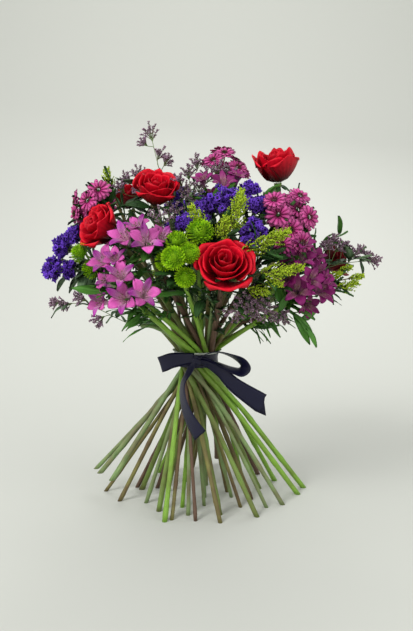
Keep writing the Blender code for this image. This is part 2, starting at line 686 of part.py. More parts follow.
LOOKS = {
    "statice": {"stalk": 1.1, "reach": 120, "twigs": 2, "spread": 1.0, "beads": 2, "long": 1.35,
                "spike": 2, "climb": 0.6, "neck": 1.0, "bead": 3.2},
    "solidago": {"stalk": 0.95, "reach": 130, "twigs": 0, "spread": 0.8, "beads": 2, "long": 0.6,
                 "spike": 6, "climb": 1.2, "neck": 1.0, "bead": 2.3},
    "limonium": {"stalk": 0.8, "reach": 150, "twigs": 1, "spread": 0.9, "beads": 1, "long": 1.0,
                 "spike": 2, "climb": 0.8, "neck": 0.75, "bead": 1.8},
}

LEAF = ((0.0, 0.16), (0.45, 1.0), (1.0, 0.12))
LEAF_WIDTH = {"rose": 0.5, "alstro": 0.22, "solidago": 0.13, "foliage": 0.38}


def leaves(node, kind, path, sites):
    for height, compass, rise, length in sites:
        for low, high in zip(path, path[1:]):
            if low.z <= height <= high.z or high.z <= height <= low.z:
                root = low.lerp(high, (height - low.z) / (high.z - low.z))
                along_stem = (high - low).normalized()
                break
        leaf = blade(root, way(compass, rise), along_stem + Vector((0, 0, 0.4)), length,
                     length * LEAF_WIDTH[kind], LEAF_THICK, 0.2, LEAF)
        place(node, [leaf])


# Stems first, so that every later shell keeps clear of all of them.
paths = stem_lines()
widths = {}
for name, stem in STEMS.items():
    path = paths[name]
    if stem["kind"] == "rose":
        path.append(path[-1] + crown(stem)[1] * 4)
    count = len(path)
    widths[name] = [stem["radius"] * (1.0 - 0.25 * max(0, i - count * 0.5) / count)
                    for i in range(count)]
    place(name, [tube(path, widths[name], 4 if stem["radius"] > 2.3 else 3, True)])


# The waist: a binding tape and the ribbon with its knot, two loops and two tails.
def waist_radius(z):
    keys = sorted(WAIST)
    for lo, hi in zip(keys, keys[1:]):
        if z <= hi:
            return WAIST[lo] + (WAIST[hi] - WAIST[lo]) * (z - lo) / (hi - lo)


def band(levels, offset, thick):
    verts = []
    faces = []
    grow_out = 1 / math.cos(math.pi / BAND_SIDES)
    profile = [(waist_radius(z) + offset, z) for z in levels]
    profile += [(waist_radius(z) + offset + thick, z) for z in reversed(levels)]
    n = len(profile)
    for k in range(BAND_SIDES):
        turn = 2 * math.pi * k / BAND_SIDES
        for r, z in profile:
            r = r * grow_out
            verts.append(TIE + Vector((r * math.cos(turn), r * math.sin(turn), z)))
    for k in range(BAND_SIDES):
        m = (k + 1) % BAND_SIDES
        for i in range(n):
            j = (i + 1) % n
            faces.append((k * n + i, m * n + i, m * n + j, k * n + j))
    return verts, faces


# The ribbon's pieces round the tie: middle line, the way its width runs, and its width.
RIBBON = {
    "left_loop": [
        ((-3, -31.8, 2), (0.1, 0, 1), 0.5), ((-15, -36.5, 1.8), (0.1, 0, 1), 0.62),
        ((-29, -38.5, 0.5), (0, 0, 1), 0.74), ((-39, -37, -3.5), (-0.15, 0, 1), 0.78),
        ((-44.5, -32.5, -6), (-0.3, 0, 0.95), 0.78), ((-40, -28.8, -5), (-0.25, 0, 0.95), 0.74),
        ((-26, -29.6, -2), (0, 0, 1), 0.62), ((-8, -31.2, 0.5), (0.1, 0, 1), 0.5)],
    "right_loop": [
        ((4, -33.4, 3), (0, -0.97, 0.25), 0.4), ((13, -37.5, 8.2), (0, -0.97, 0.25), 0.45),
        ((26, -40.5, 10.8), (0.05, -0.96, 0.27), 0.55), ((41, -42, 7), (0.25, -0.92, 0.3), 0.65),
        ((54, -43, 0.5), (0.5, -0.8, 0.33), 0.7), ((59, -43, -7.5), (0.66, -0.74, -0.1), 0.7),
        ((53, -43, -12.8), (0.4, -0.8, -0.45), 0.7), ((42, -42, -10.5), (0.05, -0.9, -0.4), 0.62),
        ((30, -40.5, -6), (0, -0.93, -0.35), 0.55), ((14, -37, 0.5), (0, -0.95, -0.3), 0.45),
        ((5, -33.6, 1.5), (0, -0.97, -0.2), 0.4)],
    "right_tail": [
        ((2, -31.5, 0.5), (0.45, -0.5, 0.8), 0.42), ((13, -35.5, -3), (0.5, -0.45, 0.8), 0.5),
        ((30, -39.5, -13.7), (0.57, -0.3, 0.8), 0.62), ((47, -42.5, -30), (0.57, -0.2, 0.82), 0.78),
        ((82, -45, -53.3), (-0.14, -0.1, 0.99), 1.07)],
    "centre_tail": [
        ((-3, -31.2, 1), (1, 0, 0), 0.4), ((-8, -36, -12), (0.8, -0.6, 0), 0.42),
        ((-16, -44, -26), (0.4, -0.9, 0.1), 0.6), ((-16.5, -51.5, -40), (0.42, -0.9, 0.15), 0.75),
        ((-12, -59, -56), (0.5, -0.8, 0.3), 0.85), ((-4.7, -65, -70), (0.6, -0.7, 0.4), 0.9),
        ((4.6, -71, -83), (0.72, -0.55, 0.42), 0.9)],
}
KNOT = {"line": ((-7, -29.9, -0.6), (0, -30.2, -1), (7, -29.9, -1.4)), "tall": (8, 9, 8), "deep": 6.6}


def ribbon_piece(key):
    points, wides, widths = zip(*RIBBON[key])
    return strip([TIE + Vector(p) for p in points], [Vector(w) for w in wides],
                 [w * RIBBON_WIDTH for w in widths], RIBBON_THICK, key == "right_tail")


place("binding_tape", [band((-8, -4, 4, 8), TAPE_ROOM, TAPE_THICK)])
place("ribbon", [band((-11, -8, -4, 4, 5), TAPE_ROOM + TAPE_THICK + GAP, RIBBON_THICK)])
knot = strip([TIE + Vector(p) for p in KNOT["line"]], [Vector((0, 0, 1))] * 3, KNOT["tall"], KNOT["deep"])
place("ribbon", [knot])
place("ribbon", [ribbon_piece(key) for key in RIBBON])


# Stems swell until they almost touch, so that the bunch is held at its waist.
waiting = list(STEMS)
for swell in SWELLS:
    for name in list(waiting):
        sides = 4 if widths[name][0] > 2.3 else 3
        stalk = tube(paths[name], [r * swell for r in widths[name]], sides, True)
        if clear(name, [stalk], SWELL_GAP):
            placed.pop(name)
            place(name, [stalk])
            waiting.remove(name)


def rose_head(name, stem, path):
    facing = crown(stem)[1]
    size = stem["heads"][0][5]
    tip = path[-1]
    bloom = rose_bloom(tip + facing * (0.66 * size + GAP + 0.05), facing, size)
    place(name + "_bloom", bloom)
    calyx = tube([tip - facing * 6, tip - facing * 0.05], [stem["radius"] * 0.8, 5.4], 5)
    place(name, [calyx])


# Blooms, the largest first, then the leaves.
RANK = ("rose", "alstro", "pink", "green", "statice", "solidago", "limonium", "foliage")
SIMPLE = {"alstro": (alstro, 0.74, 1.25, 60), "pink": (daisy, 0.06, 1.05, 70),
          "green": (bud, 0.8, 1.1, 70)}
ranked = sorted(STEMS, key=lambda name: RANK.index(STEMS[name]["kind"]))
for name in ranked:
    stem = STEMS[name]
    kind = stem["kind"]
    path = paths[name]
    if kind == "rose":
        rose_head(name, stem, path)
        continue
    for k, head in enumerate(stem["heads"]):
        if kind in SIMPLE:
            make, base, r, reach = SIMPLE[kind]
            grow(name, path, make, head, base, r, reach)
        elif kind in LOOKS:
            more = twig_cluster(name, path, head, LOOKS[kind])
            if kind == "limonium" and k == 0:
                path = path + more[1:]
        else:
            stalk, more = pedicel(name, path, Vector(head[:3]), way(head[3], head[4]), 1.1, 60)
            place(name, [stalk])
            path = path + more[1:]
    paths[name] = path

for name in ranked:
    leaves(name, STEMS[name]["kind"], paths[name], STEMS[name].get("leaves", []))


# One fused body for each node.
def new_object(name, shell, collection):
    verts, faces = shell
    bm = bmesh.new()
    vs = [bm.verts.new(v * MM) for v in verts]
    for face in faces:
        bm.faces.new([vs[i] for i in face])
    bmesh.ops.recalc_face_normals(bm, faces=bm.faces)
    bmesh.ops.triangulate(bm, faces=bm.faces)
    mesh = bpy.data.meshes.new(name)
    bm.to_mesh(mesh)
    bm.free()
    obj = bpy.data.objects.new(name, mesh)
    collection.objects.link(obj)
    return obj


def fuse(name, shells):
    base = new_object(name, shells[0], bpy.context.scene.collection)
    if len(shells) > 1:
        group = bpy.data.collections.new(name + "_pieces")
        bpy.context.scene.collection.children.link(group)
        for shell in shells[1:]:
            new_object(name + "_piece", shell, group)
        union = base.modifiers.new("union", "BOOLEAN")
        union.operation = "UNION"
        union.operand_type = "COLLECTION"
        union.collection = group
        union.solver = "MANIFOLD"
        bpy.context.view_layer.objects.active = base
        base.select_set(True)
        bpy.ops.object.modifier_apply(modifier="union")
        base.select_set(False)
        for piece in list(group.objects):
            bpy.data.objects.remove(piece, do_unlink=True)
        bpy.data.collections.remove(group)
    return base


def paint(obj, colour):
    material = bpy.data.materials.new(obj.name)
    material.use_nodes = True
    shader = material.node_tree.nodes["Principled BSDF"]
    shader.inputs["Base Color"].default_value = colour + (1.0,)
    shader.inputs["Roughness"].default_value = 0.6
    obj.data.materials.clear()
    obj.data.materials.append(material)


made = []
for name, data in placed.items():
    obj = fuse(name, data["raw"])
    if name.endswith("_bloom"):
        paint(obj, COLOURS["rose"])
    elif name == "ribbon":
        paint(obj, COLOURS["ribbon"])
    elif name == "binding_tape":
        paint(obj, COLOURS["tape"])
    else:
        kind = STEMS[name]["kind"]
        paint(obj, COLOURS["stem" if kind == "rose" else kind])
    made.append(obj)

# The whole bouquet is centred on its box, standing on z = 0.
lows = [min(v.co[i] for o in made for v in o.data.vertices) for i in range(3)]
highs = [max(v.co[i] for o in made for v in o.data.vertices) for i in range(3)]
shift = Vector((-(lows[0] + highs[0]) / 2, -(lows[1] + highs[1]) / 2, -lows[2]))
for obj in made:
    for v in obj.data.vertices:
        v.co += shift
    obj.data.update()
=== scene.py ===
import math
import random
import bpy
import numpy as np
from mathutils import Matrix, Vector


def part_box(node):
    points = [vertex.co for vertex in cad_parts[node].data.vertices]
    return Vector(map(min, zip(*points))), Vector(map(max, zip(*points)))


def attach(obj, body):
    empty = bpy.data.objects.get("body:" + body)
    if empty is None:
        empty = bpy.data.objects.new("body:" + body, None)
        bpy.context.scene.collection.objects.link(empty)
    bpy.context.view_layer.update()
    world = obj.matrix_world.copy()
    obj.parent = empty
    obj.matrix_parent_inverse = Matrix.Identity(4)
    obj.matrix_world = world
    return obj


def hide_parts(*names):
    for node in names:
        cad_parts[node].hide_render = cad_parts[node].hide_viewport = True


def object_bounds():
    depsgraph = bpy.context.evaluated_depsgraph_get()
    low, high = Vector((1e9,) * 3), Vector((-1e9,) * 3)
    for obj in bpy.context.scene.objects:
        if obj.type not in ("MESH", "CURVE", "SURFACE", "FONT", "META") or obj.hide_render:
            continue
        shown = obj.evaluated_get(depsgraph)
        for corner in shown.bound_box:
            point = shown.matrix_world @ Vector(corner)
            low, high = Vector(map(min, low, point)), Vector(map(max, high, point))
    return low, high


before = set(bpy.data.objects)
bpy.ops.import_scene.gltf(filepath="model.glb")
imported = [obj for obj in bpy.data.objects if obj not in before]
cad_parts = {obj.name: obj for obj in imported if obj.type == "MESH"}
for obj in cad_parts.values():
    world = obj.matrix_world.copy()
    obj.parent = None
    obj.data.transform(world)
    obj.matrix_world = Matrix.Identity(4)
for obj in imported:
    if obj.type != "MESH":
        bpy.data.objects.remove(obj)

# Hand-tied bouquet. In mm: where each stem is cut and where it ends, its heads as
# (x, y, z, compass and rise of the way they face, half size), its leaves as
# (height on the stem, compass and rise of the blade, length), all as in the part.
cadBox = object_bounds()
lo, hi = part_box("binding_tape")
tie = {"x": -12.0, "z": 184.0}
shift = np.array([(lo.x + hi.x) * 500 - tie["x"], (lo.y + hi.y) * 500, 0.0])

stemPlan = {
    "rose_front": {"kind": "rose", "radius": 3.1, "foot": (16, 133, 8),
        "heads": [(18, -140, 295, -90, 21, 33)],
        "leaves": [(224, -61, 1, 24)]},
    "rose_left": {"kind": "rose", "radius": 3.1, "foot": (70, 30, 0),
        "heads": [(-114, -86, 339, -146, 27, 28)],
        "leaves": [(293, -75, 21, 35)]},
    "rose_upper_left": {"kind": "rose", "radius": 3.1, "foot": (28, 18, 0),
        "heads": [(-60, -39, 383, -81, 53, 29)],
        "leaves": [(308, -96, 18, 31)]},
    "rose_tucked": {"kind": "rose", "radius": 2.9, "foot": (16, -57, 0),
        "heads": [(-100, 22, 380, -164, 69, 24)],
        "leaves": [(316, 132, 16, 30)]},
    "rose_top_right": {"kind": "rose", "radius": 3.1, "foot": (-86, 27, 0),
        "heads": [(85, -10, 412, -113, 68, 28)],
        "leaves": [(362, -67, 11, 26)]},
    "rose_right": {"kind": "rose", "radius": 2.9, "foot": (-139, 13, 27),
        "heads": [(160, 18, 302, -3, 24, 24)],
        "leaves": [(259, -43, 2, 28)]},
    "rose_back": {"kind": "rose", "radius": 3.1, "foot": (-58, -46, 0),
        "heads": [(12, 139, 330, 83, 30, 29)],
        "leaves": [(305, 91, -8, 34)]},
    "pink_left": {"kind": "pink", "radius": 2.4, "foot": (57, -8, 0), "crown": (-114, -39, 343),
        "heads": [(-151, -50, 371, -161, 5, 14), (-123, -62, 384, -97, 30, 13),
                  (-116, -48, 370, -76, 33, 11), (-142, -60, 354, -135, -6, 11)]},
    "pink_top": {"kind": "pink", "radius": 2.4, "foot": (-30, -34, 0), "crown": (12, 4, 386),
        "heads": [(4, 10, 428, 158, 57, 13), (20, 22, 440, 90, 78, 14), (37, 8, 427, -11, 59, 13),
                  (24, -14, 413, -82, 41, 12)]},
    "pink_right": {"kind": "pink", "radius": 2.4, "foot": (-93, 34, 0), "crown": (78, -60, 331),
        "heads": [(78, -97, 354, -96, 12, 14), (101, -80, 361, -66, 27, 13),
                  (107, -82, 341, -53, 0, 12), (88, -62, 374, -101, 59, 12)]},
    "pink_back_left": {"kind": "pink", "radius": 2.4, "foot": (16, -80, 0), "crown": (-91, 79, 306),
        "heads": [(-105, 95, 352, 135, 45, 14), (-128, 78, 335, 155, 17, 13),
                  (-92, 118, 330, 108, 18, 13), (-118, 105, 310, 127, -6, 12)]},
    "pink_back_right": {"kind": "pink", "radius": 2.4, "foot": (-110, -14, 0), "crown": (92, 81, 300),
        "heads": [(112, 98, 345, 45, 45, 14), (130, 76, 325, 28, 11, 13), (98, 122, 322, 72, 18, 13),
                  (124, 104, 300, 53, -6, 12)]},
    "statice_left": {"kind": "statice", "radius": 2.1, "foot": (74, -35, 0), "crown": (-125, -38, 287),
        "heads": [(-148, -52, 334, -162, 48, 12), (-169, -42, 321, -166, 31, 12),
                  (-174, -58, 295, -174, 9, 13)]},
    "statice_centre": {"kind": "statice", "radius": 2.1, "foot": (-1, 42, 0), "crown": (-9, -69, 323),
        "heads": [(16, -92, 370, -90, 66, 19), (-23, -104, 346, -111, 25, 7)]},
    "statice_right": {"kind": "statice", "radius": 2.1, "foot": (-27, 56, 0), "crown": (36, -64, 325),
        "heads": [(48, -52, 386, -90, 72, 10), (53, -82, 366, -81, 53, 8),
                  (50, -118, 335, -83, 32, 12)]},
    "statice_back": {"kind": "statice", "radius": 2.1, "foot": (-22, -58, 0), "crown": (-16, 85, 326),
        "heads": [(-28, 112, 372, 101, 59, 15), (-52, 120, 350, 120, 32, 11)]},
    "green_left": {"kind": "green", "radius": 3.0, "foot": (119, 9, 0), "crown": (-105, -71, 281),
        "heads": [(-138, -96, 313, -148, 23, 9), (-128, -88, 295, -146, -6, 9)]},
    "green_centre": {"kind": "green", "radius": 2.2, "foot": (49, 103, 0), "crown": (-26, -106, 284),
        "heads": [(-31, -128, 325, -97, 37, 9.5), (-18, -140, 313, -78, 12, 9),
                  (-34, -148, 308, -102, 6, 10), (-44, -130, 304, -121, 0, 8.5),
                  (-22, -138, 288, -90, -19, 9)]},
    "green_ball": {"kind": "green", "radius": 2.2, "foot": (27, 56, 0), "crown": (-10, -73, 315),
        "heads": [(-7, -118, 335, -90, 41, 12)]},
    "solidago_centre": {"kind": "solidago", "radius": 2.0, "foot": (-5, 86, 0), "crown": (5, -97, 314),
        "heads": [(30, -118, 352, -30, 66, 26), (-10, -112, 352, -151, 50, 15)],
        "leaves": [(265, -19, 32, 32)]},
    "solidago_mid_right": {"kind": "solidago", "radius": 2.0, "foot": (-25, 86, 0),
        "crown": (37, -123, 312),
        "heads": [(58, -128, 323, -13, 27, 27)],
        "leaves": [(259, -143, 50, 31)]},
    "solidago_low_right": {"kind": "solidago", "radius": 2.0, "foot": (-20, 114, 0),
        "crown": (47, -98, 264),
        "heads": [(73, -128, 293, -18, 6, 19), (54, -124, 273, -24, -6, 13)],
        "leaves": [(258, 3, 33, 31)]},
    "solidago_far_right": {"kind": "solidago", "radius": 2.0, "foot": (-87, 72, 0),
        "crown": (133, -28, 268),
        "heads": [(167, -40, 274, -6, 15, 15), (166, -30, 294, -6, 18, 9)],
        "leaves": [(266, 48, -6, 31)]},
    "solidago_tip_left": {"kind": "solidago", "radius": 2.0, "foot": (42, -34, 0),
        "crown": (-117, -11, 389),
        "heads": [(-119, -12, 402, -153, 77, 15)],
        "leaves": [(372, -140, 17, 31)]},
    "solidago_back": {"kind": "solidago", "radius": 2.0, "foot": (-41, -72, 0), "crown": (-9, 106, 301),
        "heads": [(-78, 140, 282, 114, 6, 18)],
        "leaves": [(293, 34, 5, 26)]},
    "alstro_upper": {"kind": "alstro", "radius": 2.7, "foot": (73, 86, 0), "crown": (-54, -98, 301),
        "heads": [(-85, -122, 329, -111, 17, 20), (-62, -138, 324, -84, 9, 20),
                  (-47, -116, 329, -65, 20, 16)],
        "leaves": [(269, -104, -12, 37), (272, -20, 4, 45)]},
    "alstro_left": {"kind": "alstro", "radius": 2.7, "foot": (94, 60, 0), "crown": (-84, -92, 272),
        "heads": [(-109, -112, 303, -122, 20, 20), (-89, -132, 289, -93, 6, 18),
                  (-110, -103, 283, -131, -6, 12)],
        "leaves": [(240, 177, 7, 50), (262, 172, 14, 72)]},
    "alstro_low_left": {"kind": "alstro", "radius": 2.8, "foot": (130, 33, 0), "crown": (-70, -88, 249),
        "heads": [(-115, -100, 260, -137, -11, 19), (-88, -120, 264, -102, -6, 20),
                  (-65, -138, 270, -78, 0, 19)],
        "leaves": [(243, -146, -14, 35)]},
    "alstro_right": {"kind": "alstro", "radius": 2.7, "foot": (-57, 73, 0), "crown": (86, -74, 279),
        "heads": [(102, -100, 306, -81, 21, 20), (121, -86, 292, -52, 6, 18)],
        "leaves": [(276, 25, 12, 37)]},
    "alstro_low_right": {"kind": "alstro", "radius": 2.7, "foot": (-68, 93, 0), "crown": (84, -74, 251),
        "heads": [(99, -108, 272, -93, -6, 20), (125, -94, 271, -55, -9, 18.5),
                  (113, -82, 255, -72, -31, 16)],
        "leaves": [(224, 5, 12, 42)]},
    "alstro_mid": {"kind": "alstro", "radius": 2.6, "foot": (-51, 20, 0), "crown": (6, -41, 352),
        "heads": [(20, -52, 392, -90, 37, 18), (6, -44, 380, -126, 30, 11)],
        "leaves": [(253, -68, 11, 42)]},
    "alstro_back_left": {"kind": "alstro", "radius": 2.7, "foot": (60, -63, 0), "crown": (-104, 54, 260),
        "heads": [(-138, 58, 290, 156, 11, 20), (-128, 84, 268, 139, -6, 19)],
        "leaves": [(216, -157, 23, 47)]},
    "alstro_back_right": {"kind": "alstro", "radius": 2.7, "foot": (-120, -11, 26), "crown": (92, 63, 257),
        "heads": [(135, 50, 278, 24, 0, 20), (108, 112, 268, 53, -6, 20)],
        "leaves": [(214, 97, 19, 50)]},
    "alstro_back": {"kind": "alstro", "radius": 2.7, "foot": (-49, -77, 0), "crown": (-4, 119, 259),
        "heads": [(-22, 152, 282, 99, 6, 20)],
        "leaves": [(251, 103, -21, 49)]},
    "limonium_top": {"kind": "limonium", "radius": 1.9, "foot": (-3, -29, 0), "crown": (-49, 5, 376),
        "heads": [(-70, 14, 464, 180, 78, 12), (-79, 10, 451, -172, 45, 8), (-56, 10, 437, -11, 59, 9),
                  (-47, -4, 426, -18, 50, 8)]},
    "limonium_upper_left": {"kind": "limonium", "radius": 1.9, "foot": (32, -1, 0), "crown": (-68, -3, 362),
        "heads": [(-84, -2, 412, -162, 71, 11), (-99, -8, 404, -172, 45, 9)]},
    "limonium_upper_mid": {"kind": "limonium", "radius": 1.9, "foot": (-2, -2, 0), "crown": (-20, -21, 353),
        "heads": [(-22, -18, 412, -117, 77, 11), (-34, -34, 399, -141, 49, 9)]},
    "limonium_right": {"kind": "limonium", "radius": 1.9, "foot": (-147, 30, 27), "crown": (100, -7, 269),
        "heads": [(209, -8, 303, -3, 0, 9), (191, -8, 317, -7, 32, 9), (171, -12, 322, -22, 56, 9),
                  (154, -18, 329, -27, 62, 8)]},
    "limonium_left": {"kind": "limonium", "radius": 1.9, "foot": (95, -26, 0), "crown": (-78, -38, 226),
        "heads": [(-165, -62, 254, -168, -6, 9), (-146, -66, 262, -159, 25, 9),
                  (-124, -74, 237, -153, -24, 9)]},
    "limonium_low": {"kind": "limonium", "radius": 1.9, "foot": (24, 85, 0), "crown": (8, -75, 263),
        "heads": [(41, -122, 260, -90, -13, 13), (59, -118, 261, -58, -12, 10)]},
    "limonium_back": {"kind": "limonium", "radius": 2.4, "foot": (-76, -20, 0), "crown": (37, 68, 344),
        "heads": [(52, 92, 398, 60, 66, 12), (30, 88, 412, 108, 72, 10)]},
    "foliage_low_right": {"kind": "foliage", "radius": 1.9, "foot": (-47, 104, 0), "crown": (72, -45, 240),
        "heads": [(114, -66, 235, -40, -37, 26)],
        "leaves": [(240, -52, -18, 23), (238, 26, 8, 24), (237, -28, -42, 30)]},
    "foliage_upper": {"kind": "foliage", "radius": 1.9, "foot": (-66, 31, 0), "crown": (50, -34, 343),
        "heads": [(67, -44, 384, -76, 66, 24)],
        "leaves": [(324, -130, 32, 20), (323, 70, 49, 18), (367, -64, 8, 21), (374, -51, -1, 22),
                   (368, -108, 35, 21)]},
    "foliage_right": {"kind": "foliage", "radius": 1.9, "foot": (-133, 20, 0), "crown": (119, -2, 303),
        "heads": [(163, -2, 336, -8, 41, 22)],
        "leaves": [(312, -124, 69, 23), (312, 59, 19, 25), (303, 47, 13, 21), (295, -77, 57, 25),
                   (334, -87, 62, 26)]},
    "foliage_back": {"kind": "foliage", "radius": 1.9, "foot": (-13, -75, 0), "crown": (-48, 100, 282),
        "heads": [(-62, 138, 312, 112, 24, 26)],
        "leaves": [(306, 142, -13, 22), (304, 29, 35, 18), (289, 156, -8, 20), (274, 28, 68, 19),
                   (270, 120, -11, 21)]},
}
print("frame loaded,", len(stemPlan), "stems")


# small vector help
def unit(v):
    v = np.asarray(v, float)
    return v / max(np.linalg.norm(v), 1e-9)


def sideways(d):
    d = unit(d)
    ref = np.array([0, 0, 1.0]) if abs(d[2]) < 0.9 else np.array([1.0, 0, 0])
    a = unit(np.cross(ref, d))
    return a, np.cross(d, a)


def smoothLine(points, per=5):
    p = np.asarray(points, float)
    if len(p) < 3:
        return p
    q = np.vstack([2 * p[0] - p[1], p, 2 * p[-1] - p[-2]])
    out = []
    for i in range(1, len(q) - 2):
        for k in range(per):
            t = k / per
            a = 2 * q[i]
            b = q[i + 1] - q[i - 1]
            c = 2 * q[i - 1] - 5 * q[i] + 4 * q[i + 1] - q[i + 2]
            e = -q[i - 1] + 3 * q[i] - 3 * q[i + 1] + q[i + 2]
            out.append(0.5 * (a + b * t + c * t * t + e * t ** 3))
    out.append(q[-2])
    return np.array(out)


def lineFrames(p):
    t = np.gradient(p, axis=0)
    t /= np.maximum(np.linalg.norm(t, axis=1), 1e-9)[:, None]
    a = np.zeros_like(p)
    a[0] = sideways(t[0])[0]
    for i in range(1, len(p)):
        v = a[i - 1] - t[i] * (a[i - 1] @ t[i])
        a[i] = v / max(np.linalg.norm(v), 1e-9)
    return t, a, np.cross(t, a)


def wayTo(compass, rise):
    a, b = math.radians(compass), math.radians(rise)
    return np.array([math.cos(a) * math.cos(b), math.sin(a) * math.cos(b), math.sin(b)])


# stem lines, read from the CAD nodes by cutting across them
def crownOf(plan):
    if plan["kind"] != "rose":
        return np.array(plan["crown"], float)
    head = plan["heads"][0]
    return np.array(head[:3], float) - wayTo(*head[3:5]) * (0.66 * head[5] + 0.3)


def traceStem(name, plan):
    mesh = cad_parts[name].data
    co = np.empty(len(mesh.vertices) * 3)
    mesh.vertices.foreach_get("co", co)
    co = co.reshape(-1, 3) * 1000 - shift
    ends = np.empty(len(mesh.edges) * 2, int)
    mesh.edges.foreach_get("vertices", ends)
    start, stop = co[ends[0::2]], co[ends[1::2]]
    foot, crown = np.array(plan["foot"], float), crownOf(plan)
    aim = unit(np.array([tie["x"], 0, tie["z"]]) - foot)
    line, sizes, step = [foot], [], 8.0
    near = foot + aim * step
    while np.linalg.norm(line[-1] - crown) > step * 1.3 and len(line) < 90:
        a, b = (start - near) @ aim, (stop - near) @ aim
        cuts = a * b < 0
        share = (a[cuts] / (a[cuts] - b[cuts]))[:, None]
        hits = start[cuts] + (stop[cuts] - start[cuts]) * share
        reach = plan["radius"] * 1.5 + 1.6
        hits = hits[np.linalg.norm(hits - near, axis=1) < reach]
        spot = (hits.min(0) + hits.max(0)) / 2 if len(hits) > 2 else near
        if len(hits) > 2:
            sizes.append(np.linalg.norm(hits - hits.mean(0), axis=1).max())
        line.append(spot)
        aim = unit(unit(spot - line[-2]) + unit(crown - spot) * (0.5 if len(hits) < 3 else 0.0))
        near = spot + aim * step
    line.append(crown)
    line = np.array(line)
    line[1:-1] = (line[:-2] + 2 * line[1:-1] + line[2:]) / 4
    return line, float(np.median(sizes))


def stalkTo(path, end, facing, least=0.35):
    # a stalk leaves the stem where it can bend gently into the back of its flower
    for back in range(0, 12):
        root = path[max(len(path) - 1 - back, 1)]
        t = unit(root - path[max(len(path) - 2 - back, 0)])
        span = np.linalg.norm(end - root)
        if span > 7 and unit(end - root) @ t > least:
            break
    s = np.linspace(0, 1, 9)[:, None]
    m1, m2 = root + t * span * 0.35, end - facing * span * 0.35
    u = 1 - s
    return root * u ** 3 + m1 * 3 * u * u * s + m2 * 3 * u * s * s + end * s ** 3


# stamps, modelled once with primitives and read as arrays
def takeStamp():
    piece = bpy.context.active_object
    mesh = piece.data
    verts = np.array([v.co[:] for v in mesh.vertices])
    faces = [tuple(f.vertices) for f in mesh.polygons]
    bpy.data.objects.remove(piece, do_unlink=True)
    bpy.data.meshes.remove(mesh)
    quads = np.array([f for f in faces if len(f) == 4], int).reshape(-1, 4)
    tris = np.array([f for f in faces if len(f) == 3], int).reshape(-1, 3)
    return verts, quads, tris


def modelSeed():
    bpy.ops.object.select_all(action="DESELECT")
    bpy.ops.mesh.primitive_uv_sphere_add(segments=5, ring_count=3, radius=1)
    bpy.ops.object.mode_set(mode="EDIT")
    bpy.ops.mesh.select_all(action="SELECT")
    bpy.ops.transform.resize(value=(0.62, 0.62, 1.0))
    bpy.ops.object.mode_set(mode="OBJECT")
    return takeStamp()


def modelFloret():
    # a small trumpet: a cone flared at its rim and pulled in at every other point
    bpy.ops.object.select_all(action="DESELECT")
    bpy.ops.mesh.primitive_cone_add(vertices=8, radius1=0.22, radius2=0.62, depth=0.7,
                                    end_fill_type="NOTHING", location=(0, 0, 0.35))
    bpy.ops.object.transform_apply(location=True, rotation=False, scale=False)
    bpy.ops.object.mode_set(mode="EDIT")
    bpy.ops.mesh.select_all(action="DESELECT")
    bpy.ops.object.mode_set(mode="OBJECT")
    mesh = bpy.context.active_object.data
    for v in mesh.vertices:
        v.select = v.co.z > 0.6
    for e in mesh.edges:
        e.select = all(mesh.vertices[i].select for i in e.vertices)
    bpy.ops.object.mode_set(mode="EDIT")
    bpy.ops.mesh.extrude_region_move(TRANSFORM_OT_translate={"value": (0, 0, 0.2)})
    bpy.ops.transform.resize(value=(1.7, 1.7, 1.0))
    bpy.ops.object.mode_set(mode="OBJECT")
    for v in mesh.vertices:
        if v.co.z > 0.8:
            turn = round(math.atan2(v.co.y, v.co.x) / (math.pi / 4))
            if turn % 2:
                v.co *= 0.74
    solid = bpy.context.active_object.modifiers.new("paper", "SOLIDIFY")
    solid.thickness = 0.07
    bpy.ops.object.modifier_apply(modifier="paper")
    return takeStamp()


seedStamp = modelSeed()
floretStamp = modelFloret()
sheetCache = {}


def sheetGrid(cols, rows):
    # a grid primitive gives the two faces of every petal and leaf, sewn along their rim
    if (cols, rows) not in sheetCache:
        bpy.ops.object.select_all(action="DESELECT")
        bpy.ops.mesh.primitive_grid_add(x_subdivisions=cols, y_subdivisions=rows, size=2)
        verts, quads, tris = takeStamp()
        u = verts[:, 0]
        v = verts[:, 1] * 0.5 + 0.5
        rim = (np.abs(u) > 0.999) | (v < 0.001) | (v > 0.999)
        other = np.arange(len(verts))
        other[~rim] = len(verts) + np.arange((~rim).sum())
        back = other[quads][:, ::-1]
        order = np.lexsort((u.round(5), v.round(5)))
        sheetCache[(cols, rows)] = (u, v, rim, np.vstack([quads, back]), order)
    return sheetCache[(cols, rows)]


# a bunch gathers the shapes of one piece
def newBunch():
    return {"v": [], "q": [], "t": [], "uv": [], "tone": [], "qm": [], "tm": [], "n": 0}


def addShape(bunch, verts, quads, tris, uv, tone, mat):
    n = bunch["n"]
    bunch["v"].append(verts)
    bunch["q"].append(quads + n)
    bunch["t"].append(tris + n)
    bunch["uv"].append(uv)
    bunch["tone"].append(np.full(len(verts), tone))
    bunch["qm"].append(np.full(len(quads), mat))
    bunch["tm"].append(np.full(len(tris), mat))
    bunch["n"] += len(verts)


noTris = np.zeros((0, 3), int)
noQuads = np.zeros((0, 4), int)


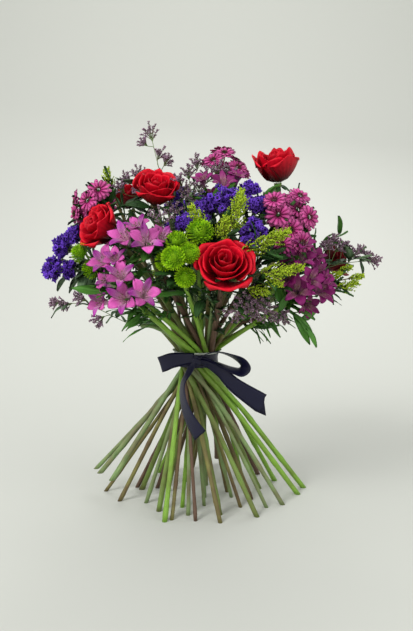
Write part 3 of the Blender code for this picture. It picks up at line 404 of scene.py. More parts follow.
def addSheet(bunch, shape, cols, rows, thick, tone, mat):
    u, v, rim, quads, order = sheetGrid(cols, rows)
    p = shape(u, v)
    e = 0.02
    du = shape(u + e, v) - shape(u - e, v)
    dv = shape(u, np.minimum(v + e, 1)) - shape(u, np.maximum(v - e, 0))
    n = np.cross(du, dv)
    n /= np.maximum(np.linalg.norm(n, axis=1), 1e-9)[:, None]
    inner = ~rim
    top = p + n * (thick * 0.5) * inner[:, None]
    verts = np.vstack([top, (p - n * thick * 0.5)[inner]])
    uv = np.column_stack([u * 0.5 + 0.5, v])
    addShape(bunch, verts, quads, noTris, np.vstack([uv, uv[inner]]), tone, mat)


def addTube(bunch, points, radii, sides, tone, mat, flat=False):
    p = np.asarray(points, float)
    r = np.asarray(radii, float)
    t, a, b = lineFrames(p)
    turn = 2 * np.pi * np.arange(sides) / sides
    ring = (a[:, None, :] * np.cos(turn)[None, :, None] + b[:, None, :] * np.sin(turn)[None, :, None])
    verts = p[:, None, :] + ring * r[:, None, None]
    if flat:
        drop = verts[0, :, 2] - p[0, 2]
        verts[0] -= t[0] * (drop / t[0, 2])[:, None]
    n = len(p)
    k = np.arange(sides)
    m = (k + 1) % sides
    quads = np.vstack([np.column_stack([i * sides + k, i * sides + m, (i + 1) * sides + m,
                                        (i + 1) * sides + k]) for i in range(n - 1)])
    low = n * sides
    caps = np.vstack([np.column_stack([np.full(sides, low), m, k]),
                      np.column_stack([np.full(sides, low + 1), (n - 1) * sides + k,
                                       (n - 1) * sides + m])])
    length = np.r_[0, np.cumsum(np.linalg.norm(np.diff(p, axis=0), axis=1))]
    uv = np.column_stack([np.tile(k / sides, n), np.repeat(length * 0.01, sides)])
    verts = np.vstack([verts.reshape(-1, 3), p[0], p[-1]])
    addShape(bunch, verts, quads, caps, np.vstack([uv, [[0.5, 0], [0.5, length[-1] * 0.01]]]),
             tone, mat)


def addStamp(bunch, stamp, place, d, wide, tall, tone, mat, spin=0.0):
    verts, quads, tris = stamp
    a, b = sideways(d)
    c, s = math.cos(spin), math.sin(spin)
    a, b = a * c + b * s, b * c - a * s
    p = (place + np.outer(verts[:, 0] * wide, a) + np.outer(verts[:, 1] * wide, b)
         + np.outer(verts[:, 2] * tall, unit(d)))
    uv = np.column_stack([verts[:, 0] * 0.5 + 0.5, np.clip(verts[:, 2], 0, 1)])
    addShape(bunch, p, quads, tris, uv, tone, mat)


def makePiece(name, bunch, materials, node):
    verts = (np.vstack(bunch["v"]) + shift) * 0.001
    quads = np.vstack(bunch["q"]) if bunch["q"] else noQuads
    tris = np.vstack(bunch["t"])
    mesh = bpy.data.meshes.new(name)
    mesh.vertices.add(len(verts))
    mesh.vertices.foreach_set("co", verts.ravel())
    loops = np.concatenate([quads.ravel(), tris.ravel()])
    mesh.loops.add(len(loops))
    mesh.loops.foreach_set("vertex_index", loops)
    mesh.polygons.add(len(quads) + len(tris))
    starts = np.concatenate([np.arange(len(quads)) * 4, len(quads) * 4 + np.arange(len(tris)) * 3])
    mesh.polygons.foreach_set("loop_start", starts)
    mesh.polygons.foreach_set("material_index", np.concatenate(bunch["qm"] + bunch["tm"]))
    mesh.polygons.foreach_set("use_smooth", np.ones(len(starts), bool))
    mesh.update(calc_edges=True)
    layer = mesh.uv_layers.new(name="grain")
    layer.data.foreach_set("uv", np.vstack(bunch["uv"])[loops].ravel())
    tone = mesh.attributes.new("tone", "FLOAT", "POINT")
    tone.data.foreach_set("value", np.concatenate(bunch["tone"]))
    mesh.validate()
    piece = bpy.data.objects.new(name, mesh)
    bpy.context.scene.collection.objects.link(piece)
    for material in materials:
        mesh.materials.append(material)
    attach(piece, "root")
    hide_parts(node)
    return piece


# shader groups shared by the materials
def groupSockets(name, ins, outs):
    group = bpy.data.node_groups.new(name, "ShaderNodeTree")
    for label, kind, value in ins:
        socket = group.interface.new_socket(name=label, in_out="INPUT", socket_type=kind)
        socket.default_value = value
    for label, kind in outs:
        group.interface.new_socket(name=label, in_out="OUTPUT", socket_type=kind)
    return group, group.nodes.new("NodeGroupInput"), group.nodes.new("NodeGroupOutput")


def mathNode(tree, operation, a, b):
    node = tree.nodes.new("ShaderNodeMath")
    node.operation = operation
    for i, value in enumerate((a, b)):
        if isinstance(value, (int, float)):
            node.inputs[i].default_value = value
        elif value is not None:
            tree.links.new(value, node.inputs[i])
    return node.outputs[0]


def mixColor(tree, factor, a, b, blend="MIX"):
    node = tree.nodes.new("ShaderNodeMix")
    node.data_type = "RGBA"
    node.blend_type = blend
    for i, value in ((0, factor), (6, a), (7, b)):
        if isinstance(value, (int, float, tuple)):
            node.inputs[i].default_value = value
        else:
            tree.links.new(value, node.inputs[i])
    return node.outputs[2]


def buildPetalGroup():
    # colour from base to rim with fine veins, mottling and a shift for each petal; in the roses the near-black
    # base and the darker shift of the inner petals are painted shade
    group, gin, gout = groupSockets("petalColor", [
        ("Base", "NodeSocketColor", (0.1, 0, 0, 1)), ("Rim", "NodeSocketColor", (0.5, 0, 0, 1)),
        ("Vein Amount", "NodeSocketFloat", 0.3), ("Vein Count", "NodeSocketFloat", 30.0),
        ("Tone Spread", "NodeSocketFloat", 0.4), ("Ripe At", "NodeSocketFloat", 0.95)],
        [("Color", "NodeSocketColor"), ("Height", "NodeSocketFloat")])
    uv = group.nodes.new("ShaderNodeUVMap")
    uv.uv_map = "grain"
    split = group.nodes.new("ShaderNodeSeparateXYZ")
    group.links.new(uv.outputs[0], split.inputs[0])
    coords = group.nodes.new("ShaderNodeTexCoord")
    mottle = group.nodes.new("ShaderNodeTexNoise")
    mottle.inputs["Scale"].default_value = 260.0
    mottle.inputs["Detail"].default_value = 4.0
    group.links.new(coords.outputs["Object"], mottle.inputs["Vector"])
    warp = mathNode(group, "MULTIPLY", mottle.outputs[0], 0.08)
    across = mathNode(group, "ADD", split.outputs[0], warp)
    lines = mathNode(group, "MULTIPLY", across, gin.outputs["Vein Count"])
    wave = mathNode(group, "SINE", lines, None)
    wave = mathNode(group, "MULTIPLY", wave, 0.5)
    vein = mathNode(group, "MULTIPLY", wave, gin.outputs["Vein Amount"])
    climb = mathNode(group, "ADD", split.outputs[1], vein)
    ramp = group.nodes.new("ShaderNodeMapRange")
    ramp.inputs["From Min"].default_value = 0.12
    group.links.new(gin.outputs["Ripe At"], ramp.inputs["From Max"])
    group.links.new(climb, ramp.inputs["Value"])
    color = mixColor(group, ramp.outputs[0], gin.outputs["Base"], gin.outputs["Rim"])
    tone = group.nodes.new("ShaderNodeAttribute")
    tone.attribute_name = "tone"
    swing = mathNode(group, "MULTIPLY", tone.outputs["Fac"], gin.outputs["Tone Spread"])
    spots = mathNode(group, "MULTIPLY", mottle.outputs[0], 0.35)
    gain = mathNode(group, "ADD", mathNode(group, "SUBTRACT", 1.0, swing), spots)
    gain = mathNode(group, "SUBTRACT", gain, 0.12)
    bright = group.nodes.new("ShaderNodeVectorMath")
    bright.operation = "SCALE"
    group.links.new(color, bright.inputs[0])
    group.links.new(gain, bright.inputs["Scale"])
    group.links.new(bright.outputs[0], gout.inputs["Color"])
    height = mathNode(group, "ADD", wave, mottle.outputs[0])
    group.links.new(height, gout.inputs["Height"])
    return group


petalGroup = buildPetalGroup()


def petalMaterial(name, base, rim, veins, count, spread, rough, ripe=0.95):
    material = bpy.data.materials.new(name)
    material.use_nodes = True
    tree = material.node_tree
    shader = tree.nodes["Principled BSDF"]
    color = tree.nodes.new("ShaderNodeGroup")
    color.node_tree = petalGroup
    color.inputs["Base"].default_value = base + (1,)
    color.inputs["Rim"].default_value = rim + (1,)
    color.inputs["Vein Amount"].default_value = veins
    color.inputs["Vein Count"].default_value = count
    color.inputs["Tone Spread"].default_value = spread
    color.inputs["Ripe At"].default_value = ripe
    tree.links.new(color.outputs["Color"], shader.inputs["Base Color"])
    lift = tree.nodes.new("ShaderNodeBump")
    lift.inputs["Strength"].default_value = 0.2
    lift.inputs["Distance"].default_value = 0.0004
    tree.links.new(color.outputs["Height"], lift.inputs["Height"])
    tree.links.new(lift.outputs[0], shader.inputs["Normal"])
    shader.inputs["Roughness"].default_value = rough
    shader.inputs["Specular IOR Level"].default_value = 0.2
    return material


def buildStemGroup():
    # long fibres and brown scars over the green
    group, gin, gout = groupSockets("stemColor", [
        ("Green", "NodeSocketColor", (0.1, 0.3, 0.05, 1)),
        ("Bark", "NodeSocketColor", (0.1, 0.07, 0.03, 1)),
        ("Bark Amount", "NodeSocketFloat", 0.4)],
        [("Color", "NodeSocketColor"), ("Height", "NodeSocketFloat"), ("Rough", "NodeSocketFloat")])
    uv = group.nodes.new("ShaderNodeUVMap")
    uv.uv_map = "grain"
    stretch = group.nodes.new("ShaderNodeMapping")
    stretch.inputs["Scale"].default_value = (9.0, 3.0, 1.0)
    group.links.new(uv.outputs[0], stretch.inputs["Vector"])
    fibre = group.nodes.new("ShaderNodeTexNoise")
    fibre.inputs["Scale"].default_value = 2.5
    fibre.inputs["Detail"].default_value = 6.0
    group.links.new(stretch.outputs[0], fibre.inputs["Vector"])
    coords = group.nodes.new("ShaderNodeTexCoord")
    patches = group.nodes.new("ShaderNodeTexNoise")
    patches.inputs["Scale"].default_value = 34.0
    patches.inputs["Detail"].default_value = 3.0
    group.links.new(coords.outputs["Object"], patches.inputs["Vector"])
    both = mathNode(group, "ADD", mathNode(group, "MULTIPLY", fibre.outputs[0], 0.6),
                    mathNode(group, "MULTIPLY", patches.outputs[0], 0.6))
    spread = mathNode(group, "ADD", both, mathNode(group, "SUBTRACT", gin.outputs["Bark Amount"], 1.1))
    mask = group.nodes.new("ShaderNodeMapRange")
    mask.inputs["From Min"].default_value = -0.12
    mask.inputs["From Max"].default_value = 0.12
    group.links.new(spread, mask.inputs["Value"])
    color = mixColor(group, mask.outputs[0], gin.outputs["Green"], gin.outputs["Bark"])
    gain = mathNode(group, "ADD", mathNode(group, "MULTIPLY", fibre.outputs[0], 2.6), -0.25)
    bright = group.nodes.new("ShaderNodeVectorMath")
    bright.operation = "SCALE"
    group.links.new(color, bright.inputs[0])
    group.links.new(gain, bright.inputs["Scale"])
    group.links.new(bright.outputs[0], gout.inputs["Color"])
    group.links.new(fibre.outputs[0], gout.inputs["Height"])
    group.links.new(mathNode(group, "ADD", mathNode(group, "MULTIPLY", mask.outputs[0], 0.25), 0.42),
                    gout.inputs["Rough"])
    return group


stemGroup = buildStemGroup()


def stemMaterial(name, green, bark, amount):
    material = bpy.data.materials.new(name)
    material.use_nodes = True
    tree = material.node_tree
    shader = tree.nodes["Principled BSDF"]
    color = tree.nodes.new("ShaderNodeGroup")
    color.node_tree = stemGroup
    color.inputs["Green"].default_value = green + (1,)
    color.inputs["Bark"].default_value = bark + (1,)
    color.inputs["Bark Amount"].default_value = amount
    tree.links.new(color.outputs["Color"], shader.inputs["Base Color"])
    tree.links.new(color.outputs["Rough"], shader.inputs["Roughness"])
    lift = tree.nodes.new("ShaderNodeBump")
    lift.inputs["Strength"].default_value = 0.5
    lift.inputs["Distance"].default_value = 0.0006
    tree.links.new(color.outputs["Height"], lift.inputs["Height"])
    tree.links.new(lift.outputs[0], shader.inputs["Normal"])
    shader.inputs["Specular IOR Level"].default_value = 0.35
    return material


bark = (0.11, 0.07, 0.035)
stems = {
    "bright": stemMaterial("stemBright", (0.20, 0.38, 0.04), bark, 0.36),
    "mid": stemMaterial("stemMid", (0.17, 0.28, 0.05), bark, 0.47),
    "olive": stemMaterial("stemOlive", (0.24, 0.24, 0.06), bark, 0.54),
    "brown": stemMaterial("stemBrown", (0.21, 0.16, 0.06), (0.12, 0.07, 0.045), 0.78),
    "grey": stemMaterial("stemGrey", (0.20, 0.31, 0.11), (0.16, 0.13, 0.07), 0.45),
}
cutWood = petalMaterial("cutEnd", (0.45, 0.50, 0.22), (0.55, 0.58, 0.30), 0.3, 60.0, 0.3, 0.8)
leafDeep = petalMaterial("leafDeep", (0.022, 0.070, 0.018), (0.045, 0.13, 0.028), 0.5, 22.0, 0.5, 0.45)
leafBright = petalMaterial("leafBright", (0.045, 0.15, 0.022), (0.09, 0.26, 0.035), 0.4, 26.0, 0.45, 0.42)
leafDusty = petalMaterial("leafDusty", (0.08, 0.15, 0.075), (0.15, 0.23, 0.12), 0.4, 20.0, 0.4, 0.6)
# both rose reds run from a near-black petal foot, painted shade deep inside the rose, to the rose's own red at
# the rim
roseRed = petalMaterial("roseRed", (0.06, 0.0, 0.004), (0.78, 0.003, 0.022), 0.12, 50.0, 0.6, 0.5)
# a darker copy of the rose red: painted shade for the rose on the right, which faces away from the key light
roseShadedCopy = petalMaterial("roseRedShaded", (0.07, 0.0, 0.003), (0.26, 0.001, 0.009), 0.12, 50.0, 0.5, 0.5)
orchid = petalMaterial("orchidPetal", (0.90, 0.64, 0.76), (0.72, 0.12, 0.48), 0.3, 44.0, 0.55, 0.5, 0.55)
orchidDeep = petalMaterial("orchidDeep", (0.46, 0.20, 0.37), (0.27, 0.014, 0.155), 0.2, 44.0, 0.45, 0.5, 0.55)
streaked = petalMaterial("streakedPetal", (0.90, 0.72, 0.62), (0.46, 0.05, 0.40), 0.6, 56.0, 0.5, 0.5, 0.6)
pinkRay = petalMaterial("pinkRay", (0.46, 0.02, 0.19), (0.74, 0.13, 0.40), 0.25, 20.0, 0.45, 0.6)
pinkEye = petalMaterial("daisyEye", (0.03, 0.022, 0.01), (0.14, 0.13, 0.02), 0.2, 12.0, 0.7, 0.8)
streakedDeep = petalMaterial("streakedDeep", (0.70, 0.50, 0.42), (0.27, 0.02, 0.16), 0.5, 56.0, 0.4, 0.5, 0.6)
violet = petalMaterial("staticeBract", (0.05, 0.016, 0.27), (0.20, 0.07, 0.70), 0.3, 20.0, 0.75, 0.7)
lime = petalMaterial("buttonLime", (0.16, 0.40, 0.008), (0.50, 0.86, 0.014), 0.2, 14.0, 0.45, 0.6)
gold = petalMaterial("goldenrod", (0.30, 0.46, 0.02), (0.62, 0.80, 0.05), 0.2, 12.0, 0.45, 0.7)
mauve = petalMaterial("limoniumBract", (0.22, 0.13, 0.17), (0.46, 0.29, 0.42), 0.3, 12.0, 0.6, 0.8)
anther = petalMaterial("anther", (0.16, 0.10, 0.05), (0.30, 0.20, 0.09), 0.1, 10.0, 0.4, 0.8)
print("materials built")


# leaves and florets keep clear of the roses
roseBalls = [(np.array(plan["heads"][0][:3], float), plan["heads"][0][5])
             for plan in stemPlan.values() if plan["kind"] == "rose"]


def inRose(spot, share=1.0):
    return any(np.linalg.norm(spot - c) < size * share for c, size in roseBalls)


# the flowers
def addRose(bunch, c, d, r, rng, mat, cup):
    # cup 0 is an open rose, 1 a deep one that is seen from its side
    a, b = sideways(d)
    total = 17
    for i in range(total):
        t = i / (total - 1)
        turn = i * 2.39996 + rng.uniform(-0.3, 0.3)
        rho = r * (0.07 + 0.91 * t ** 0.9)
        half = 1.7 - 0.75 * t ** 0.6 + rng.uniform(-0.14, 0.14)
        top = r * (0.5 - 0.36 * t ** 1.5 + cup * (0.1 + 0.26 * t) + rng.uniform(-0.05, 0.05))
        curl = max(0.0, t - 0.25) * (0.44 - 0.12 * cup) * r
        wob = rng.uniform(0, 6.28)
        low = -0.62 * r + 0.12 * r * (1 - t)

        def shape(u, v):
            lip = np.clip(v - 0.72, 0, 1)
            wide = (0.30 + 0.70 * np.sin(np.clip(v * 1.12, 0, 1) * np.pi / 2)) * (1 - 5.0 * lip ** 2)
            phi = turn + u * half * wide
            out = np.outer(np.cos(phi), a) + np.outer(np.sin(phi), b)
            reach = rho * (0.14 + 0.86 * np.sin(v * np.pi / 2) ** (0.85 - 0.22 * cup)) + 0.05 * r * u
            reach = reach + curl * 1.6 * lip ** 1.5 + 0.03 * r * np.sin(wob + u * 5) * v ** 3 * t
            h = low + (top - low) * v ** (1.25 - 0.35 * t)
            fall = (0.14 + 0.12 * cup) * np.abs(u) ** 1.6 * v ** 3 * (0.4 + t)
            h = h - curl * 2.8 * np.clip(v - 0.82, 0, 1) - r * fall
            h = h + 0.035 * r * np.sin(wob * 2 + u * 6) * v ** 4 * (0.3 + t)
            scale = np.minimum(1.0, 1.03 * r / np.maximum(reach, 1e-6))
            return c + out * (reach * scale)[:, None] + np.outer(h, d)
        # inner petals draw darker tones than the outer ones: painted shade in the heart of the rose
        addSheet(bunch, shape, 14, 11, 0.5, rng.random() * (0.25 + 0.75 * (1 - t)), mat)
    # the bud core and the disc under the petals take a dark tone: painted shade
    addStamp(bunch, seedStamp, c - d * 0.12 * r, d, 0.14 * r, 0.5 * r, 0.9, mat)
    addStamp(bunch, seedStamp, c - d * 0.48 * r, d, 0.56 * r, 0.16 * r, 0.9, mat)


def addAlstro(bunch, c, d, r, rng, mats):
    a, b = sideways(d)
    twist = rng.uniform(0, 6.28)
    for k in range(6):
        inner = k % 2
        turn = twist + math.pi * k / 3 + rng.uniform(-0.08, 0.08)
        out = a * math.cos(turn) + b * math.sin(turn)
        side = np.cross(d, out)
        half = r * (0.21 if inner else 0.33)
        reach = r * (0.94 if inner else 0.90)
        back = rng.uniform(-0.05, 0.15) + (0.0 if inner else 0.06)
        ripple = rng.uniform(0, 6.28)

        def shape(u, v):
            w = half * np.sin(np.pi * (0.06 + 0.88 * v ** 1.5)) ** 0.85
            along = reach * (0.05 + 0.80 * v ** 1.4 + 0.15 * v ** 5)
            h = r * (-0.74 + 1.36 * v ** 0.75 - back * v ** 4 - 0.12 * v ** 3)
            h = h + 0.16 * r * u * u * np.sin(np.pi * v) + 0.055 * r * np.sin(ripple + u * 4 + v * 6) * v
            return c + np.outer(along, out) + np.outer(u * w, side) + np.outer(h, d)
        addSheet(bunch, shape, 6, 10, 0.45, rng.random(), mats[1] if inner else mats[0])
    for k in range(5):
        turn = twist + 1.2566 * k
        out = a * math.cos(turn) + b * math.sin(turn)
        line = [c - d * 0.6 * r + out * 0.05 * r, c - d * 0.1 * r + out * 0.14 * r,
                c + d * 0.24 * r + out * 0.2 * r]
        addTube(bunch, smoothLine(line, 3), np.full(7, 0.45), 4, 0.5, mats[0])
        addStamp(bunch, seedStamp, np.array(line[-1]), d + out * 0.5, 0.9, 1.5, rng.random(), mats[2])
    addStamp(bunch, seedStamp, c - d * 0.82 * r, d, 2.6, 3.6, 0.4, mats[3])


def addDaisy(bunch, c, d, r, rng, mats):
    a, b = sideways(d)
    twist = rng.uniform(0, 6.28)
    r = r * 1.14
    for layer, (count, reach, lift) in enumerate(((14, 1.0, 0.06), (12, 0.86, 0.2))):
        for k in range(count):
            turn = twist + 2 * math.pi * (k + 0.5 * layer) / count + rng.uniform(-0.07, 0.07)
            out = a * math.cos(turn) + b * math.sin(turn)
            side = np.cross(d, out)
            span = r * reach * rng.uniform(0.93, 1.05)
            cup = lift + rng.uniform(-0.04, 0.08)

            def shape(u, v):
                w = 0.16 * r * (0.5 + 0.75 * v) * (1 - np.clip(v - 0.8, 0, 1) ** 2 * 14)
                h = r * cup * v + 0.05 * r * (1 - u * u) - 0.10 * r * v * v
                far = 0.15 * r + (span - 0.15 * r) * v
                return c + np.outer(far, out) + np.outer(u * w, side) + np.outer(h, d)
            addSheet(bunch, shape, 2, 5, 0.35, rng.random(), mats[0])
    for k in range(34):
        q = math.sqrt((k + 0.5) / 34)
        turn = k * 2.39996
        out = a * math.cos(turn) + b * math.sin(turn)
        spot = c + out * q * 0.30 * r + d * (0.16 * r + 0.7 * (1 - q * q))
        addStamp(bunch, seedStamp, spot, d + out * q * 0.5, 0.55, 0.95, rng.random(), mats[1])
    addStamp(bunch, seedStamp, c - d * 1.6, d, 3.6, 2.6, 0.5, mats[2])


def addButton(bunch, c, d, r, rng, mats):
    addStamp(bunch, seedStamp, c, d, r * 1.28, r * 0.72, 0.8, mats[0])
    a, b = sideways(d)
    total = 120
    for k in range(total):
        z = 1 - 1.62 * (k + 0.5) / total
        s = math.sqrt(max(0.0, 1 - z * z))
        turn = k * 2.39996
        out = a * math.cos(turn) + b * math.sin(turn)
        n = unit(out * s + d * z)
        tip = unit(d * 0.9 + n * 0.35) if z > 0.3 else unit(d * 0.5 + n * 0.5)
        side = unit(np.cross(n, tip) + 1e-4 * a)
        root = c + n * r * 0.70
        span = r * (0.20 + 0.22 * (1 - z))

        def shape(u, v):
            w = 0.12 * r * np.sin(np.pi * (0.25 + 0.66 * v))
            bow = r * 0.26 * np.sin(v * 1.4)
            return root + np.outer(span * v, tip) + np.outer(bow, n) + np.outer(u * w, side)
        addSheet(bunch, shape, 1, 3, 0.4, rng.random(), mats[0])


def addLeaf(bunch, root, way, face, length, wide, rng, mat, droop=0.18, cols=4, rows=8):
    way = unit(way)
    face = unit(np.asarray(face) - way * (np.asarray(face) @ way))
    side = np.cross(way, face)
    wave = rng.uniform(0, 6.28)
    bend = rng.uniform(-0.12, 0.12)

    def shape(u, v):
        w = wide * 0.5 * np.sin(np.pi * np.clip(v, 0, 1) ** 0.85 * 0.96 + 0.05) ** 0.9 + 0.25
        h = 0.16 * wide * np.abs(u) - droop * length * v * v + 0.035 * length * np.sin(wave + 7 * v + u)
        across = u * w + bend * length * v * v
        return root + np.outer(length * v, way) + np.outer(across, side) + np.outer(h, face)
    addSheet(bunch, shape, cols, rows, 0.4, rng.random(), mat)


# statice, goldenrod and limonium: twigs with their florets
clusterLooks = {
    "statice": {"twigs": 13, "florets": 9, "wide": 2.5, "tall": 5.4, "spread": 1.1, "stem": 0.7},
    "limonium": {"twigs": 11, "florets": 15, "wide": 1.1, "tall": 2.9, "spread": 1.05, "stem": 0.42},
}


def addCluster(bunch, kind, c, d, size, rng, mats):
    look = clusterLooks[kind]
    base = c - d * size * 0.9
    a, b = sideways(d)
    for i in range(look["twigs"]):
        turn = 2.39996 * i + rng.uniform(-0.3, 0.3)
        tilt = look["spread"] * math.sqrt((i + 0.3) / look["twigs"])
        out = a * math.cos(turn) + b * math.sin(turn)
        way = d * math.cos(tilt) + out * math.sin(tilt)
        span = size * rng.uniform(1.45, 1.85) * (1 - 0.16 * tilt)
        root = base + d * size * rng.uniform(-0.2, 0.3)
        line = smoothLine([root, root + (way + d * 0.25) * span * 0.5, root + way * span], 3)
        addTube(bunch, line, np.linspace(look["stem"] * 1.2, look["stem"] * 0.7, len(line)), 4,
                rng.random(), mats[1])
        for k in range(look["florets"]):
            s = 0.38 + 0.62 * (k + 0.7) / look["florets"]
            place = line[min(int(s * (len(line) - 1)), len(line) - 1)]
            swing = rng.uniform(0, 6.28)
            lean = unit(way + (a * math.cos(swing) + b * math.sin(swing)) * 0.9)
            size1 = rng.uniform(0.8, 1.2)
            if inRose(place, 0.9):
                continue
            if kind == "statice":
                addStamp(bunch, floretStamp, place, lean, look["wide"] * size1 * 1.25,
                         look["tall"] * size1, rng.random(), mats[0], rng.random() * 6)
            else:
                addStamp(bunch, seedStamp, place + lean * 1.2, lean, look["wide"] * size1,
                         look["tall"] * 0.6 * size1, rng.random(), mats[0])


def addPlume(bunch, c, d, size, rng, mats):
    base = c - d * size * 0.95
    a, b = sideways(d)
    axis = smoothLine([base, c, c + d * size * 0.85 + b * size * 0.05], 6)
    addTube(bunch, axis, np.linspace(0.9, 0.35, len(axis)), 5, 0.5, mats[1])
    count = max(14, int(size * 1.5))
    for i in range(count):
        s = (i + 0.5) / count
        root = axis[int(s * (len(axis) - 1))]
        turn = 2.39996 * i
        out = a * math.cos(turn) + b * math.sin(turn)
        span = min(size * 0.8, 17.0) * (1.1 - 0.85 * s) * rng.uniform(0.7, 1.15)
        line = smoothLine([root, root + out * span * 0.45 + d * span * 0.35,
                           root + out * span * 0.7 + d * span * 0.95], 4)
        addTube(bunch, line, np.linspace(0.4, 0.3, len(line)), 4, rng.random(), mats[1])
        for k in range(13):
            place = line[int((0.2 + 0.8 * k / 12) * (len(line) - 1))]
            lean = unit(d * 0.7 + out * 0.3 + rng.uniform(-0.8, 0.8) * a + rng.uniform(-0.8, 0.8) * b)
            stamp = floretStamp if k % 6 == 0 else seedStamp
            if inRose(place, 0.9):
                continue
            addStamp(bunch, stamp, place + lean * 0.8, lean, rng.uniform(0.8, 1.3),
                     rng.uniform(1.3, 2.1), rng.random(), mats[0], rng.random() * 6)


# one piece for each stem with what it carries
stemTones = {"rose": "mid", "pink": "olive", "statice": "grey", "green": "bright", "solidago": "olive",
             "alstro": "bright", "limonium": "grey", "foliage": "brown"}
stemSpecial = {"alstro_upper": "brown", "rose_front": "brown", "pink_right": "brown",
               "alstro_mid": "mid", "alstro_back_left": "mid", "rose_back": "mid",
               "rose_right": "grey", "alstro_back_right": "grey", "pink_back_right": "olive",
               "foliage_right": "olive", "pink_top": "bright", "rose_upper_left": "olive"}
leafKinds = {"rose": leafDeep, "pink": leafDeep, "statice": leafDusty, "green": leafDeep,
             "solidago": leafDeep, "alstro": leafBright, "limonium": leafDusty,
             "foliage": leafBright}
leafWide = {"rose": 0.5, "alstro": 0.24, "solidago": 0.15, "foliage": 0.42}
headMats = {
    "rose": [], "pink": [pinkRay, pinkEye, leafDeep], "statice": [violet], "green": [lime],
    "solidago": [gold], "limonium": [mauve], "foliage": [],
    "alstro": [orchid, streaked, anther, leafBright],
}
deepOnes = {"alstro_right", "alstro_low_right", "alstro_mid", "alstro_back_right", "alstro_back"}
stalkWide = {"pink": 1.0, "alstro": 1.1, "green": 1.0, "statice": 0.9, "limonium": 0.45}
greenery = {"low": 228.0, "full": 300.0, "high": 374.0, "leaves": 11, "grass": 4,
            "length": (22, 38), "wide": (8, 15)}
roseCup = {"rose_front": 0.1, "rose_left": 1.0, "rose_upper_left": 1.0, "rose_tucked": 1.0,
           "rose_top_right": 1.7, "rose_right": 0.8, "rose_back": 0.3}

# finer sprays and flowers of the same stems that fill the head between the larger ones
moreHeads = {
    "limonium_top": [(-40, 4, 402, -60, 60, 11), (-66, 4, 410, -140, 60, 11), (-28, 0, 392, -70, 60, 12)],
    "limonium_upper_left": [(-78, -20, 388, -110, 50, 12), (-104, -24, 392, -150, 50, 10),
                            (-66, -8, 402, -100, 70, 11)],
    "limonium_upper_mid": [(-8, -24, 396, -80, 60, 12), (-18, -44, 378, -95, 40, 13),
                           (4, -30, 408, -60, 60, 11), (-40, -60, 364, -110, 35, 14),
                           (-52, -92, 352, -105, 30, 15), (14, -26, 414, -80, 60, 12),
                           (30, -22, 408, -60, 55, 12), (-12, -10, 424, -100, 70, 11)],
    "limonium_right": [(200, -10, 309, -10, 15, 8), (182, -12, 313, -15, 45, 9),
                       (162, -20, 322, -40, 50, 9), (142, -40, 322, -60, 50, 9)],
    "limonium_left": [(-176, -62, 256, 180, 5, 7)],
    "limonium_low": [(30, -122, 250, -95, -15, 12), (50, -126, 252, -80, -15, 12), (68, -112, 250, -60, -15, 12),
                     (84, -100, 244, -50, -15, 10), (52, -112, 268, -80, 5, 12)],
    "statice_left": [(-181, -58, 292, -178, 2, 6), (-158, -54, 294, -174, 6, 8), (-158, -50, 332, -165, 40, 8)],
    "statice_centre": [(0, -86, 362, -110, 55, 13), (30, -90, 372, -70, 60, 13)],
    "statice_right": [(64, -66, 366, -70, 55, 8)],
    "solidago_centre": [(18, -122, 338, -70, 55, 16), (34, -112, 368, -40, 70, 14)],
    "solidago_mid_right": [(76, -124, 330, -15, 25, 14)],
    "solidago_low_right": [(92, -122, 296, -15, 10, 12), (70, -122, 280, -20, 0, 12)],
    "solidago_far_right": [(178, -36, 284, -5, 10, 10), (150, -44, 286, -30, 20, 11)],
    "limonium_back": [(22, 52, 398, 90, 70, 13), (50, 62, 392, 40, 60, 12), (4, 66, 390, 120, 60, 13)],
    "statice_back": [(-12, 74, 384, 90, 65, 13), (-42, 72, 376, 140, 55, 12), (-34, 50, 388, -170, 70, 10)],
    "pink_top": [(8, -14, 424, -110, 45, 12), (38, -10, 416, -55, 40, 12), (22, -4, 434, -90, 60, 12),
                 (46, 4, 414, -30, 30, 11)],
    "pink_left": [(-134, -68, 372, -120, 15, 12), (-150, -60, 358, -150, 0, 11), (-132, -66, 360, -110, 0, 10)],
    "pink_right": [(92, -98, 338, -85, 5, 13), (74, -92, 370, -105, 40, 12), (104, -76, 376, -60, 45, 12),
                   (112, -92, 352, -60, 10, 12), (82, -100, 322, -90, -5, 12), (104, -98, 324, -75, 0, 12)],
    "alstro_upper": [(-72, -126, 340, -100, 40, 15)],
    "alstro_mid": [(-4, -54, 396, -110, 40, 14), (36, -46, 400, -70, 50, 14)],
    "alstro_right": [(106, -100, 322, -80, 35, 15), (90, -106, 296, -100, 10, 15), (122, -86, 308, -60, 20, 13)],
    "alstro_low_right": [(86, -108, 286, -100, 0, 15), (112, -110, 284, -70, 0, 17), (132, -88, 282, -45, 0, 14)],
    "alstro_left": [(-96, -122, 306, -105, 25, 15)],
}
